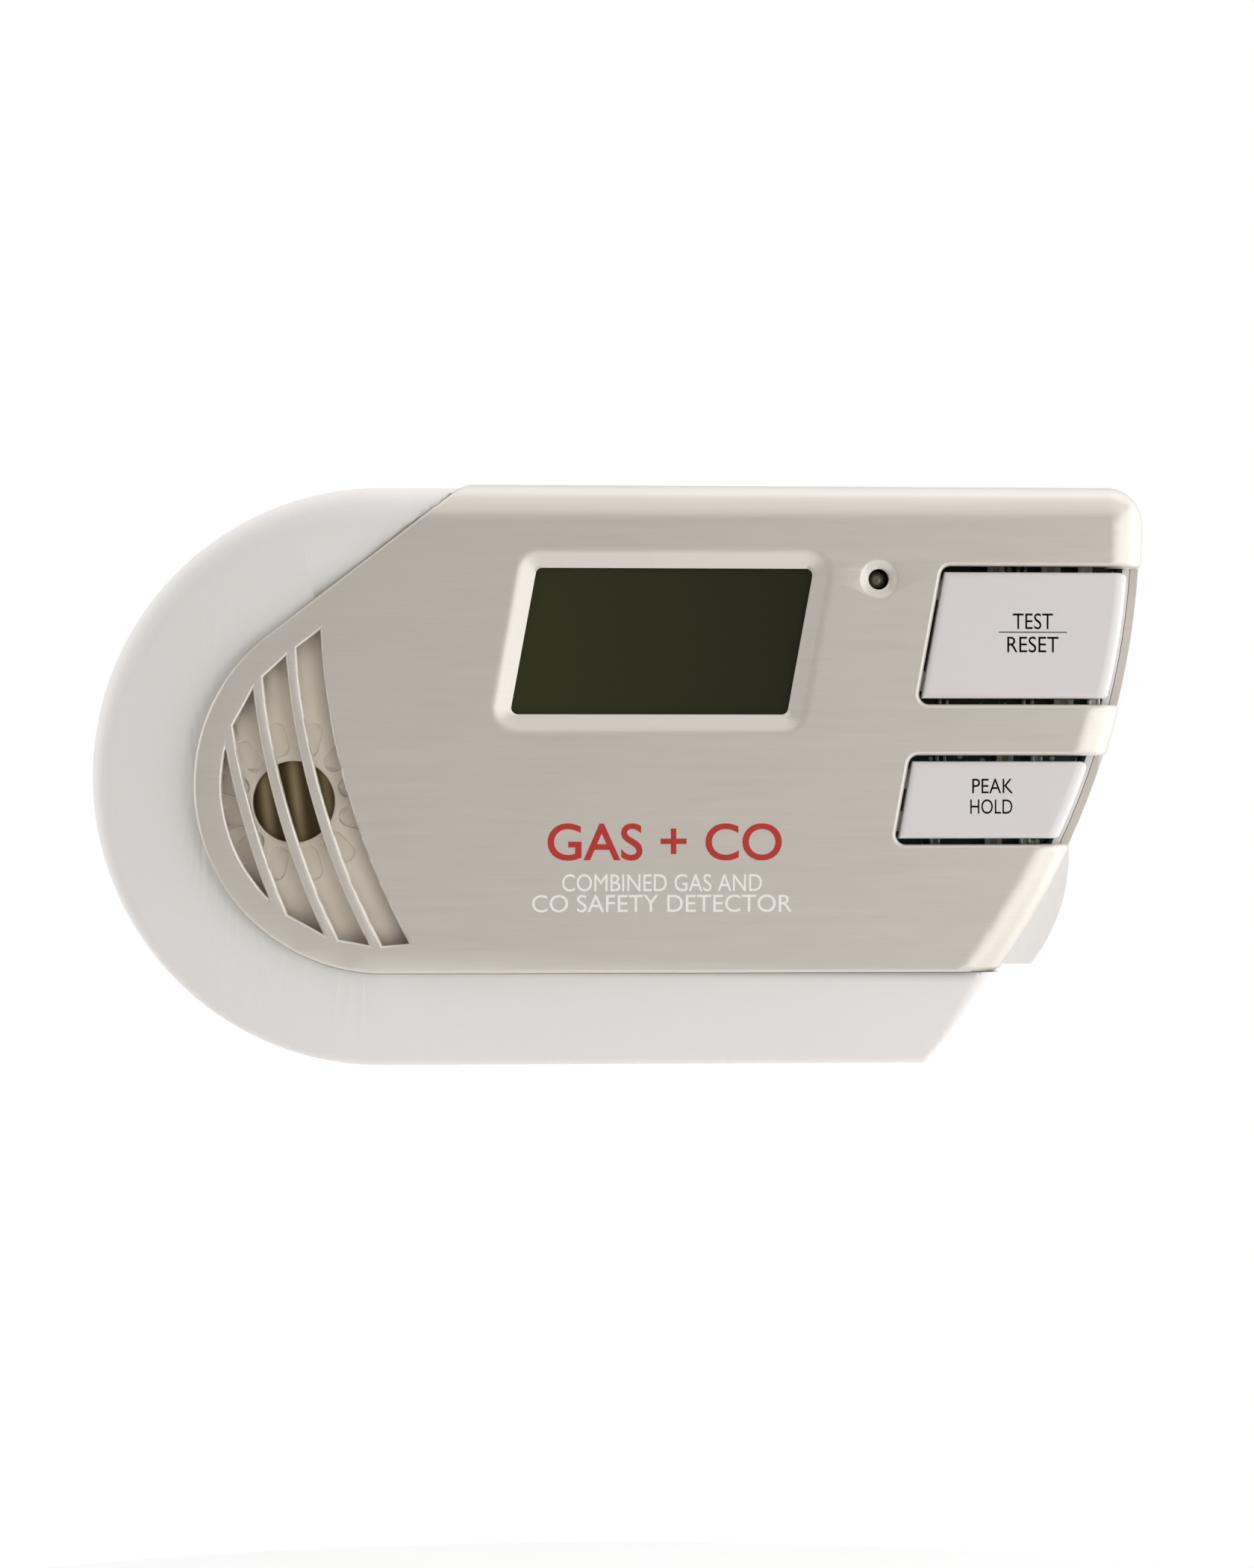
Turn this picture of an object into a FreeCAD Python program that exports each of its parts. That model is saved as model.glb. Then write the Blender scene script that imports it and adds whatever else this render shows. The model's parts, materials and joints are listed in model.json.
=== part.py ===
import FreeCAD, Part
import math
import os
import Sketcher
from FreeCAD import Placement, Rotation, Vector

# Plug-in gas and carbon monoxide alarm.
# +X runs to the right of the front face, +Z up, and the front looks along -Y.
# The origin is midway between the plug blades, on the rear face that rests against the wall.
# Outlines are drawn about the middle of the casing, which hangs plug_rise below the blades.
# Depths are measured from the rear face towards the front.

doc = FreeCAD.newDocument("plug_in_alarm")
sheet = doc.addObject("Spreadsheet::Sheet", "Sizes")
parts = []


class Size(float):
    # A length that remembers the sheet expression it comes from.

    def __new__(cls, value, text):
        made = super().__new__(cls, value)
        made.text = text
        return made

    def __add__(self, other):
        return Size(float(self) + float(other), f"({self.text} + {text_of(other)})")

    def __radd__(self, other):
        return Size(float(other) + float(self), f"({text_of(other)} + {self.text})")

    def __sub__(self, other):
        return Size(float(self) - float(other), f"({self.text} - {text_of(other)})")

    def __rsub__(self, other):
        return Size(float(other) - float(self), f"({text_of(other)} - {self.text})")

    def __mul__(self, other):
        return Size(float(self) * float(other), f"({self.text} * {text_of(other)})")

    def __rmul__(self, other):
        return Size(float(other) * float(self), f"({text_of(other)} * {self.text})")

    def __truediv__(self, other):
        return Size(float(self) / float(other), f"({self.text} / {text_of(other)})")

    def __neg__(self):
        return Size(-float(self), f"(0 - {self.text})")


def text_of(value):
    return value.text if isinstance(value, Size) else repr(float(value))


def size(alias, value):
    row = sheet_rows[0]
    sheet_rows[0] += 1
    sheet.set(f"A{row}", alias)
    sheet.set(f"B{row}", str(value))
    sheet.setAlias(f"B{row}", alias)
    return Size(value, f"Sizes.{alias}")


sheet_rows = [1]

# ---- casing ----
body_length = size("body_length", 159.0)
body_height = size("body_height", 86.6)
body_depth = size("body_depth", 42.0)
side_radius = size("side_radius", 116.9)
side_centre_z = size("side_centre_z", 39.0)
corner_radius = size("corner_radius", 5.5)
foot_radius = size("foot_radius", 1.5)
wall = size("wall", 2.4)
rear_wall = size("rear_wall", 2.2)
rear_depth = size("rear_depth", 27.0)
rear_rounding = size("rear_rounding", 1.2)
plug_rise = size("plug_rise", 10.0)
fit_gap = size("fit_gap", 0.1)

# ---- silver front cover ----
cover_proud = size("cover_proud", 0.5)
cover_skirt = size("cover_skirt", 1.2)
cover_plate = size("cover_plate", 1.8)
cover_rim = size("cover_rim", 2.0)
cover_rounding = size("cover_rounding", 6.0)
cover_bevel = size("cover_bevel", 0.55)
cover_step = size("cover_step", 3.4)
bow_radius = size("bow_radius", 28.2)
bow_shift_x = size("bow_shift_x", 0.3)
bow_shift_z = size("bow_shift_z", 1.4)
slant_rise = size("slant_rise", 37.7)

# ---- white tier beside the cover ----
tier_drop = size("tier_drop", 1.0)
tier_roll_radius = size("tier_roll_radius", 337.0)
tier_roll_from_left = size("tier_roll_from_left", 48.6)
tier_rounding = size("tier_rounding", 6.0)
tier_edge = size("tier_edge", 0.9)
tier_side_rounding = size("tier_side_rounding", 3.4)

# ---- display window, status light and button slots ----
window_width = size("window_width", 41.7)
window_height = size("window_height", 21.95)
window_from_left = size("window_from_left", 85.3)
window_z = size("window_z", 20.1)
window_bevel = size("window_bevel", 2.6)
window_bevel_depth = size("window_bevel_depth", 1.35)
window_softening = size("window_softening", 3.0)
lean = size("lean", 0.184)
light_from_right = size("light_from_right", 41.05)
light_z = size("light_z", 29.5)
light_hole = size("light_hole", 1.55)
light_dish = size("light_dish", 3.1)
light_dish_depth = size("light_dish_depth", 1.0)
lamp_radius = size("lamp_radius", 1.5)
lamp_height = size("lamp_height", 7.2)
slot_floor = size("slot_floor", 34.5)
slot_rounding = size("slot_rounding", 1.5)
slot_edge = size("slot_edge", 0.7)
test_slot_from_right = size("test_slot_from_right", 33.35)
test_slot_z = size("test_slot_z", 21.1)
test_slot_height = size("test_slot_height", 20.8)
peak_slot_from_right = size("peak_slot_from_right", 37.55)
peak_slot_z = size("peak_slot_z", -3.7)
peak_slot_height = size("peak_slot_height", 13.4)

# ---- vent ----
vent_centre_from_left = size("vent_centre_from_left", 142.0)
vent_centre_z = size("vent_centre_z", 26.9)
vent_radius = size("vent_radius", 108.0)
vent_slot = size("vent_slot", 3.6)
vent_rib = size("vent_rib", 1.75)
vent_margin = size("vent_margin", 4.2)
vent_edge = size("vent_edge", 0.45)

# ---- button caps and their switches ----
cap_proud = size("cap_proud", 0.2)
cap_gap = size("cap_gap", 0.9)
cap_side_gap = size("cap_side_gap", 0.5)
cap_inset = size("cap_inset", 2.8)
cap_edge = size("cap_edge", 0.9)
cap_end_rounding = size("cap_end_rounding", 2.2)
cap_wall = size("cap_wall", 1.3)
cap_drop = size("cap_drop", 6.8)
switch_width = size("switch_width", 6.0)
switch_height = size("switch_height", 3.5)
plunger_radius = size("plunger_radius", 1.75)
plunger_height = size("plunger_height", 1.5)
press_gap = size("press_gap", 0.35)
post_radius = size("post_radius", 2.4)

# ---- boards ----
board_depth = size("board_depth", 29.4)
board_thickness = size("board_thickness", 1.6)
board_inset = size("board_inset", 3.0)
board_from_left = size("board_from_left", 47.6)
power_depth = size("power_depth", 8.0)
screw_radius = size("screw_radius", 1.45)
screw_length = size("screw_length", 30.0)
boss_radius = size("boss_radius", 3.6)
head_recess = size("head_recess", 3.2)
head_radius = size("head_radius", 2.8)
head_height = size("head_height", 2.0)
drive_reach = size("drive_reach", 1.6)
drive_width = size("drive_width", 0.75)
drive_depth = size("drive_depth", 1.1)
screw_inset = size("screw_inset", 5.6)
board_screw_radius = size("board_screw_radius", 1.0)
board_screw_length = size("board_screw_length", 7.0)
board_head_radius = size("board_head_radius", 2.2)

# ---- sounder ----
horn_from_left = size("horn_from_left", 30.2)
horn_z = size("horn_z", -3.95)
horn_hole = size("horn_hole", 6.1)
horn_plate = size("horn_plate", 1.4)
horn_below_cover = size("horn_below_cover", 1.0)
drum_radius = size("drum_radius", 15.5)
drum_wall = size("drum_wall", 1.5)
disc_radius = size("disc_radius", 13.5)
flute_radius = size("flute_radius", 1.45)
flute_start = size("flute_start", 8.4)
flute_end = size("flute_end", 10.7)
flute_depth = size("flute_depth", 0.25)
flute_edge = size("flute_edge", 0.2)

# ---- battery and drawer ----
battery_length = size("battery_length", 45.4)
battery_width = size("battery_width", 26.2)
battery_thickness = size("battery_thickness", 17.3)
battery_depth = size("battery_depth", 5.3)
battery_from_right = size("battery_from_right", 76.4)
drawer_z = size("drawer_z", -12.2)
drawer_height = size("drawer_height", 34.0)
drawer_front_depth = size("drawer_front_depth", 3.5)
drawer_thickness = size("drawer_thickness", 20.6)
drawer_wall = size("drawer_wall", 1.5)
drawer_gap = size("drawer_gap", 0.3)
lip_radius = size("lip_radius", 27.1)
lip_from_right = size("lip_from_right", 36.1)

# ---- rating label ----
label_width = size("label_width", 38.0)
label_height = size("label_height", 34.0)
label_from_right = size("label_from_right", 60.4)
label_low = size("label_low", -14.0)
label_thickness = size("label_thickness", 0.2)
label_recess = size("label_recess", 0.3)

# ---- mains plug ----
blade_spacing = size("blade_spacing", 12.7)
blade_thickness = size("blade_thickness", 1.52)
blade_width = size("blade_width", 6.35)
neutral_width = size("neutral_width", 7.92)
blade_length = size("blade_length", 17.0)
blade_hole = size("blade_hole", 1.6)
blade_hole_reach = size("blade_hole_reach", 11.7)

doc.recompute()

# ---- places worked out from the sizes ----
rear_face = Size(0, "0")
weld = 0.5  # how far a post or a guide starts inside the wall that it joins
half_length = body_length / 2
half_height = body_height / 2
left_x = half_height - half_length
window_x = window_from_left - half_length
light_x = half_length - light_from_right
test_slot_x = half_length - test_slot_from_right
peak_slot_x = half_length - peak_slot_from_right
vent_centre_x = vent_centre_from_left - half_length
horn_x = horn_from_left - half_length
board_left = board_from_left - half_length
battery_left = half_length - battery_from_right
lip_x = half_length - lip_from_right
label_left = half_length - label_from_right
power_left = left_x - 19.5
power_notch = battery_left - 13
power_right = battery_left + 11
disc_depth = rear_depth + 4.0
side_x = half_length - side_radius
bow_x = left_x + bow_shift_x
bow_z = -bow_shift_z
cover_bottom = bow_z - bow_radius
cover_top = half_height + cover_proud
seat_depth = body_depth - cover_step
tier_depth = body_depth - tier_drop
shelf_depth = seat_depth - 1.9
board_front = board_depth + board_thickness
plunger_top = board_front + switch_height + plunger_height
slant = math.radians(slant_rise)
drawer_low = drawer_z - drawer_height / 2
drawer_high = drawer_z + drawer_height / 2
drawer_far = drawer_front_depth + drawer_thickness
screw_height = half_height - screw_inset
screw_diagonal = screw_height * math.sqrt(0.5)
board_screw_height = half_height - board_inset - 5.1
case_screw_spots = [
    (left_x - screw_diagonal, screw_diagonal),
    (left_x - screw_diagonal, -screw_diagonal),
    (half_length - 8.1, screw_height),
    (half_length - 40.6, -screw_height),
]
board_screw_spots = [
    (board_left + 5, board_screw_height),
    (board_left + 5, -board_screw_height),
    (light_x, screw_height),
    (board_left + 57, -board_screw_height),
]
power_post_spots = [(power_left + 5, -25.0), (power_left + 5, 24.0), (power_right - 6, 24.0)]
button_slots = [
    (test_slot_x, test_slot_z, test_slot_height),
    (peak_slot_x, peak_slot_z, peak_slot_height),
]


# ---- drawing helpers ----
def line(start, end):
    return Part.LineSegment(Vector(start[0], start[1], 0), Vector(end[0], end[1], 0))


def arc(centre, radius, first, last):
    # Counter-clockwise from the first angle to the last.
    circle = Part.Circle(Vector(centre[0], centre[1], 0), Vector(0, 0, 1), float(radius))
    made = Part.ArcOfCircle(circle, first, last)
    return (made, radius) if isinstance(radius, Size) else made


def ring(centre, radius):
    circle = Part.Circle(Vector(centre[0], centre[1], 0), Vector(0, 0, 1), float(radius))
    return (circle, radius) if isinstance(radius, Size) else circle


def polar(centre, radius, angle):
    return (centre[0] + radius * math.cos(angle), centre[1] + radius * math.sin(angle))


def loop(points):
    return [line(points[i - 1], points[i]) for i in range(len(points))]


def rectangle(x0, x1, z0, z1):
    return loop([(x0, z0), (x1, z0), (x1, z1), (x0, z1)])


def rounded_loop(points, radius):
    # Straight sides with an arc of one radius at each corner; points run counter-clockwise.
    pieces = []
    trims = []
    count = len(points)
    for i in range(count):
        here = Vector(points[i][0], points[i][1], 0)
        back = (Vector(points[i - 1][0], points[i - 1][1], 0) - here).normalize()
        ahead = (Vector(points[(i + 1) % count][0], points[(i + 1) % count][1], 0) - here).normalize()
        half_angle = back.getAngle(ahead) / 2
        reach = radius / math.tan(half_angle)
        centre = here + (back + ahead).normalize() * (radius / math.sin(half_angle))
        start, end = here + back * reach, here + ahead * reach
        first = math.atan2(start.y - centre.y, start.x - centre.x)
        last = math.atan2(end.y - centre.y, end.x - centre.x)
        pieces.append(arc((centre.x, centre.y), radius, first, last))
        trims.append((start, end))
    for i in range(count):
        pieces.append(line(trims[i - 1][1], trims[i][0]))
    return pieces


def side_angle(height, inset):
    # Angle on the right-hand side arc, inset from the outline, at a given height.
    return math.asin((height - side_centre_z) / (side_radius - inset))


def side_point(height, inset):
    return polar((side_x, side_centre_z), side_radius - inset, side_angle(height, inset))


def rounded_corner(height, radius, inset, upward):
    # Arc that rounds the right-hand side arc into a level edge; returns it with its two ends.
    centre_z = height - radius if upward else height + radius
    reach = side_radius - inset - radius
    angle = math.asin((centre_z - side_centre_z) / reach)
    centre = polar((side_x, side_centre_z), reach, angle)
    level = (centre[0], float(height))
    if upward:
        return arc(centre, radius, angle, math.pi / 2), level, angle
    return arc(centre, radius, -math.pi / 2, angle), level, angle


def right_side(top, bottom, inset, top_radius, foot):
    # The side arc with both its corners, and the ends that the level edges meet.
    upper, upper_end, high = rounded_corner(top, top_radius, inset, True)
    lower, lower_end, low = rounded_corner(bottom, foot, inset, False)
    side = arc((side_x, side_centre_z), side_radius - inset, low, high)
    return [upper, side, lower], upper_end, lower_end


def body_outline(inset):
    top_radius = max(corner_radius - inset, 0.6)
    foot = max(foot_radius - inset, 0.6)
    top, bottom = half_height - inset, inset - half_height
    pieces, upper_end, lower_end = right_side(top, bottom, inset, top_radius, foot)
    pieces.append(line(upper_end, (left_x, top)))
    pieces.append(arc((left_x, 0), half_height - inset, math.pi / 2, math.pi * 1.5))
    pieces.append(line((left_x, bottom), lower_end))
    return pieces


def slant_meets(free, height):
    # Where the slanted edge, inset by free, crosses a level line.
    start = polar((bow_x, bow_z), bow_radius - free, math.pi / 2 + slant)
    return (start[0] + (height - start[1]) / math.tan(slant), float(height))


def bow_end(free):
    return polar((bow_x, bow_z), bow_radius - free, math.pi / 2 + slant)


def cover_outline(free, skirt):
    # Cover outline, inset by free at the bow, slant and lower edge, and by skirt at top and right.
    top = cover_top - skirt
    bottom = cover_bottom + free
    upper, upper_end, high = rounded_corner(top, max(corner_radius - skirt, 0.6), skirt, True)
    low = side_angle(bottom, skirt)
    foot = side_point(bottom, skirt)
    slant_top = slant_meets(free, top)
    return [
        upper,
        arc((side_x, side_centre_z), side_radius - skirt, low, high),
        line(foot, (bow_x, bottom)),
        arc((bow_x, bow_z), bow_radius - free, math.pi / 2 + slant, math.pi * 1.5),
        line(bow_end(free), slant_top),
        line(slant_top, upper_end),
    ]


def edge_band(free, outer, inner):
    # The strip along the cover's top and right-hand edges, between two insets.
    bottom = cover_bottom + free
    pieces = []
    ends = []
    for inset in (outer, inner):
        top = cover_top - inset
        upper, upper_end, high = rounded_corner(top, max(corner_radius - inset, 0.6), inset, True)
        pieces.append(upper)
        pieces.append(arc((side_x, side_centre_z), side_radius - inset, side_angle(bottom, inset), high))
        pieces.append(line(slant_meets(free, top), upper_end))
        ends.append((slant_meets(free, top), side_point(bottom, inset)))
    pieces.append(line(ends[0][0], ends[1][0]))
    pieces.append(line(ends[0][1], ends[1][1]))
    return pieces


def board_outline():
    top, bottom = half_height - board_inset, board_inset - half_height
    pieces, upper_end, lower_end = right_side(top, bottom, board_inset, corner_radius - board_inset, 0.6)
    pieces.append(line(upper_end, (board_left, top)))
    pieces.append(line((board_left, top), (board_left, bottom)))
    pieces.append(line((board_left, bottom), lower_end))
    return pieces


bay_end = side_point(drawer_low, wall)[0] - 3.5


# ---- feature helpers ----
def draw(sketch, pieces):
    # Adds the pieces, ties the ends that meet, and binds each named radius to its sheet cell.
    ends = []
    for piece in pieces:
        curve, radius = piece if isinstance(piece, tuple) else (piece, None)
        index = sketch.addGeometry(curve, False)
        if not isinstance(curve, Part.Circle):
            ends.append((index, 1, curve.StartPoint))
            ends.append((index, 2, curve.EndPoint))
        if radius is not None:
            number = sketch.addConstraint(Sketcher.Constraint("Radius", index, float(radius)))
            sketch.setExpression(f"Constraints[{number}]", radius.text)
    for i, first in enumerate(ends):
        for second in ends[i + 1:]:
            if first[0] != second[0] and first[2].distanceToPoint(second[2]) < 1e-6:
                sketch.addConstraint(Sketcher.Constraint("Coincident", first[0], first[1], second[0], second[1]))


def new_body(label):
    body = doc.addObject("PartDesign::Body", label)
    body.Label = label
    body.setExpression("Placement.Base.z", (-plug_rise).text)
    parts.append(body)
    return body


def origin_plane(body, role):
    for feature in body.Origin.OriginFeatures:
        if feature.Role == role:
            return feature
    raise RuntimeError(f"no {role}")


def sketch_in(body, pieces, offset, role="XZ_Plane"):
    sketch = body.newObject("Sketcher::SketchObject", f"{body.Label}_outline")
    sketch.AttachmentSupport = [(origin_plane(body, role), "")]
    sketch.MapMode = "FlatFace"
    if isinstance(offset, Size):
        sketch.setExpression("AttachmentOffset.Base.z", offset.text)
    else:
        sketch.AttachmentOffset = Placement(Vector(0, 0, offset), Rotation())
    draw(sketch, pieces)
    return sketch


def set_length(feature, name, value):
    if isinstance(value, Size):
        feature.setExpression(name, value.text)
    else:
        setattr(feature, name, value)


def pad(body, pieces, near, far):
    # Adds material between two depths.
    feature = body.newObject("PartDesign::Pad", f"{body.Label}_pad")
    feature.Profile = sketch_in(body, pieces, near)
    set_length(feature, "Length", far - near)
    doc.recompute()
    return feature


def pocket(body, pieces, near, far):
    # Removes material between two depths.
    before = body.Shape.Volume
    feature = body.newObject("PartDesign::Pocket", f"{body.Label}_pocket")
    feature.Profile = sketch_in(body, pieces, far)
    set_length(feature, "Length", far - near)
    doc.recompute()
    if body.Shape.Volume >= before:
        raise RuntimeError(f"{feature.Label} removes nothing")
    return feature


def upright_pocket(body, pieces):
    # Removes a profile drawn in plan, through the whole height.
    before = body.Shape.Volume
    feature = body.newObject("PartDesign::Pocket", f"{body.Label}_plan_pocket")
    feature.Profile = sketch_in(body, pieces, 0.0, "XY_Plane")
    feature.SideType = "Symmetric"
    set_length(feature, "Length", body_height * 2)
    doc.recompute()
    if body.Shape.Volume >= before:
        raise RuntimeError(f"{feature.Label} removes nothing")
    return feature


def edges_where(shape, test):
    return [f"Edge{i + 1}" for i, edge in enumerate(shape.Edges) if test(edge)]


def at_depth(edge, depth):
    box = edge.BoundBox
    return abs(box.YMin + depth) < 0.01 and abs(box.YMax + depth) < 0.01


def round_edges(body, test, radius):
    base = body.Tip
    names = edges_where(base.Shape, test)
    feature = body.newObject("PartDesign::Fillet", f"{body.Label}_rounding")
    feature.Base = (base, names)
    set_length(feature, "Radius", radius)
    doc.recompute()
    return feature


def bevel_edges(body, test, across, down):
    base = body.Tip
    names = edges_where(base.Shape, test)
    feature = body.newObject("PartDesign::Chamfer", f"{body.Label}_bevel")
    feature.Base = (base, names)
    feature.ChamferType = "Two distances"
    set_length(feature, "Size", across)
    set_length(feature, "Size2", down)
    doc.recompute()
    return feature


def place(item, x, depth, z):
    # Binds the coordinates that come from the sheet.
    for axis, value in (("x", x), ("y", -depth), ("z", z - plug_rise)):
        if isinstance(value, Size):
            item.setExpression(f"Placement.Base.{axis}", value.text)


def prism(pieces, near, far):
    # Solid between two depths, outside any body.
    sketch = doc.addObject("Sketcher::SketchObject", "outline")
    sketch.Placement = Placement(Vector(0, -near, -plug_rise), Rotation(Vector(1, 0, 0), 90))
    place(sketch, 0, near, 0)
    draw(sketch, pieces)
    item = doc.addObject("Part::Extrusion", "prism")
    item.Base = sketch
    item.DirMode = "Normal"
    item.Solid = True
    set_length(item, "LengthFwd", far - near)
    return item


def block(x0, x1, near, far, z0, z1):
    item = doc.addObject("Part::Box", "block")
    item.Placement = Placement(Vector(x0, -far, z0 - plug_rise), Rotation())
    set_length(item, "Length", x1 - x0)
    set_length(item, "Width", far - near)
    set_length(item, "Height", z1 - z0)
    place(item, x0, far, z0)
    return item


def rod(x, z, radius, near, far):
    # Cylinder whose axis runs front to back.
    item = doc.addObject("Part::Cylinder", "rod")
    item.Placement = Placement(Vector(x, -near, z - plug_rise), Rotation(Vector(1, 0, 0), 90))
    set_length(item, "Radius", radius)
    set_length(item, "Height", far - near)
    place(item, x, near, z)
    return item


def rod_along_x(x0, x1, depth, z, radius):
    item = doc.addObject("Part::Cylinder", "rod")
    item.Placement = Placement(Vector(x0, -depth, z - plug_rise), Rotation(Vector(0, 1, 0), 90))
    set_length(item, "Radius", radius)
    set_length(item, "Height", x1 - x0)
    place(item, x0, depth, z)
    return item


def cut(base, tools):
    item = base
    for tool in tools:
        part_cut = doc.addObject("Part::Cut", "cut")
        part_cut.Base = item
        part_cut.Tool = tool
        part_cut.Refine = False
        item = part_cut
    return item


def fuse(items):
    item = doc.addObject("Part::MultiFuse", "fuse")
    item.Shapes = items
    item.Refine = False
    return item


def group(items):
    item = doc.addObject("Part::Compound", "group")
    item.Links = items
    return item


def name(item, label):
    item.Label = label
    parts.append(item)
    return item


# ---- casing ----
def make_rear_housing():
    body = new_body("rear_housing")
    pad(body, body_outline(0), rear_face, rear_depth)
    round_edges(body, lambda e: at_depth(e, 0), rear_rounding)
    pocket(body, body_outline(wall), rear_wall, rear_depth)
    guides = []
    for z0 in (drawer_low, drawer_high - drawer_wall):
        guides += rectangle(battery_left - 6, bay_end, z0, z0 + drawer_wall)
    pad(body, guides, rear_wall - weld, drawer_far)
    posts = []
    for x, z in case_screw_spots:
        posts.append(ring((x, z), boss_radius))
    pad(body, posts, rear_wall - weld, rear_depth)
    posts = []
    for x, z in board_screw_spots:
        posts.append(ring((x, z), boss_radius - 0.8))
    pad(body, posts, rear_wall - weld, board_depth)
    pad(body, [ring(spot, 2.5) for spot in power_post_spots], rear_wall - weld, power_depth)
    pocket(body, [ring(spot, screw_radius + fit_gap) for spot in case_screw_spots],
           rear_face, rear_depth)
    pocket(body, [ring(spot, head_radius + 0.4) for spot in case_screw_spots],
           rear_face, head_recess)
    pocket(body, [ring(spot, board_screw_radius + 0.05) for spot in board_screw_spots],
           board_front - board_screw_length - 1, board_depth)
    slots = []
    for x, width in ((-blade_spacing / 2, blade_width), (blade_spacing / 2, neutral_width)):
        half_thick = blade_thickness / 2 + 0.05
        half_wide = width / 2 + 0.05
        slots += rectangle(x - half_thick, x + half_thick, plug_rise - half_wide, plug_rise + half_wide)
    pocket(body, slots, rear_face, rear_wall)
    pocket(body, rectangle(bay_end + 0.5, half_length + 5, drawer_low - drawer_gap, drawer_high + drawer_gap),
           drawer_front_depth - drawer_gap, drawer_far + drawer_gap)
    pocket(body, rounded_loop(label_corners(fit_gap), 2.0), rear_face, label_recess)
    return body


def label_corners(grow):
    x0, x1 = label_left - grow, label_left + label_width + grow
    z0, z1 = label_low - grow, label_low + label_height + grow
    return [(x0, z0), (x1, z0), (x1, z1), (x0, z1)]


def make_rating_label():
    body = new_body("rating_label")
    pad(body, rounded_loop(label_corners(0), 2.0), label_recess - label_thickness, label_recess)


def make_front_housing():
    blank = doc.addObject("PartDesign::Body", "front_housing_blank")
    blank.setExpression("Placement.Base.z", (-plug_rise).text)
    pad(blank, split_outline(), rear_depth, tier_depth)
    roll_tier(blank)
    rounded = doc.addObject("Part::Fillet", "tier_rounding")
    rounded.Base = blank
    rounded.Edges = tier_edges(blank.Shape)
    boss_top = shelf_depth + 0.4
    bosses = prism([ring(spot, boss_radius) for spot in case_screw_spots], rear_depth, boss_top)
    hollows = [
        prism(cover_outline(-fit_gap, -4.0), seat_depth, body_depth + 1),
        prism(edge_band(-fit_gap, -4.0, cover_skirt + fit_gap), rear_depth - 1, seat_depth + 0.5),
        prism(body_outline(wall), rear_depth - 1, shelf_depth),
        prism(cover_outline(cover_rim + 1.0, cover_rounding - 0.4), shelf_depth - 1, seat_depth + 1),
    ]
    for left, middle, height in button_slots:
        low, high = middle - height / 2, middle + height / 2
        hollows.append(block(left - cap_inset, body_length, slot_floor, body_depth, low, high))
    pilot = prism([ring(spot, screw_radius + 0.03) for spot in case_screw_spots],
                  rear_depth - 1, head_recess + screw_length + 0.5)
    name(cut(fuse([cut(rounded, hollows), bosses]), [pilot]), "front_housing")


def split_outline():
    # The casing outline with its side arc parted at the cover's lower edge and its end arc parted
    # an eighth of a turn before the base, so that the rounding can change along them.
    pieces = body_outline(0)
    side, foot = pieces[1], pieces[2]
    side_centre = (side_x, side_centre_z)
    low = side_angle(cover_bottom, 0)
    curve = side[0] if isinstance(side, tuple) else side
    pieces[1] = arc(side_centre, side_radius, low, curve.LastParameter)
    pieces.append(arc(side_centre, side_radius, curve.FirstParameter, low))
    pieces[4] = arc((left_x, 0), half_height, math.pi / 2, math.pi * 1.25)
    pieces.append(arc((left_x, 0), half_height, math.pi * 1.25, math.pi * 1.5))
    return pieces


def tier_edges(shape):
    # Every front edge with the rounding radius at each of its ends.
    picked = []
    for i, edge in enumerate(shape.Edges):
        box = edge.BoundBox
        crossing = box.ZLength > half_height * 1.9 and box.XLength < 0.01
        if box.YMax < -(rear_depth + 1) and not crossing:
            ends = [edge.valueAt(edge.FirstParameter), edge.valueAt(edge.LastParameter)]
            picked.append((i + 1, tier_radius(ends[0]), tier_radius(ends[1])))
    return picked


def tier_radius(point):
    height = point.z + plug_rise
    if height < cover_bottom - 6:
        return float(tier_edge) if point.x > left_x - 5 else float(tier_rounding)
    return float(tier_rounding) if point.x < 0 else float(tier_side_rounding)


def roll_tier(body):
    # The tier rolls back towards its left end on a wide arc that starts level.
    reach = tier_roll_from_left + 5
    angle = math.asin(reach / tier_roll_radius)
    centre = (tier_roll_from_left - half_length, tier_roll_radius - tier_depth)
    low_end = polar(centre, tier_roll_radius, -math.pi / 2 - angle)
    front = -body_depth - 2
    pieces = [
        arc(centre, tier_roll_radius, -math.pi / 2 - angle, -math.pi / 2),
        line((centre[0], -tier_depth), (centre[0], front)),
        line((centre[0], front), (low_end[0], front)),
        line((low_end[0], front), low_end),
    ]
    upright_pocket(body, pieces)


def make_front_cover():
    body = new_body("front_cover")
    pad(body, cover_outline(0, 0), rear_depth, body_depth)
    round_edges(body, is_skirt_edge, cover_rounding)
    bevel_edges(body, is_free_edge, cover_bevel, cover_bevel)
    pocket(body, cover_outline(-2.0, cover_skirt), rear_depth, seat_depth)
    pocket(body, cover_outline(cover_rim, cover_rounding - 0.4), seat_depth, body_depth - cover_plate)
    cut_window(body)
    cut_light_hole(body)
    cut_button_slots(body)
    cut_vent(body)
    return body


def is_skirt_edge(edge):
    if not at_depth(edge, body_depth):
        return False
    box = edge.BoundBox
    top = abs(box.ZMin - cover_top) < 0.01
    return top or (box.XMin > side_point(cover_bottom, 0)[0] - 0.1)


def is_free_edge(edge):
    if not at_depth(edge, body_depth):
        return False
    box = edge.BoundBox
    return box.XMin < left_x or abs(box.ZMax - cover_bottom) < 0.01


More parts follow.
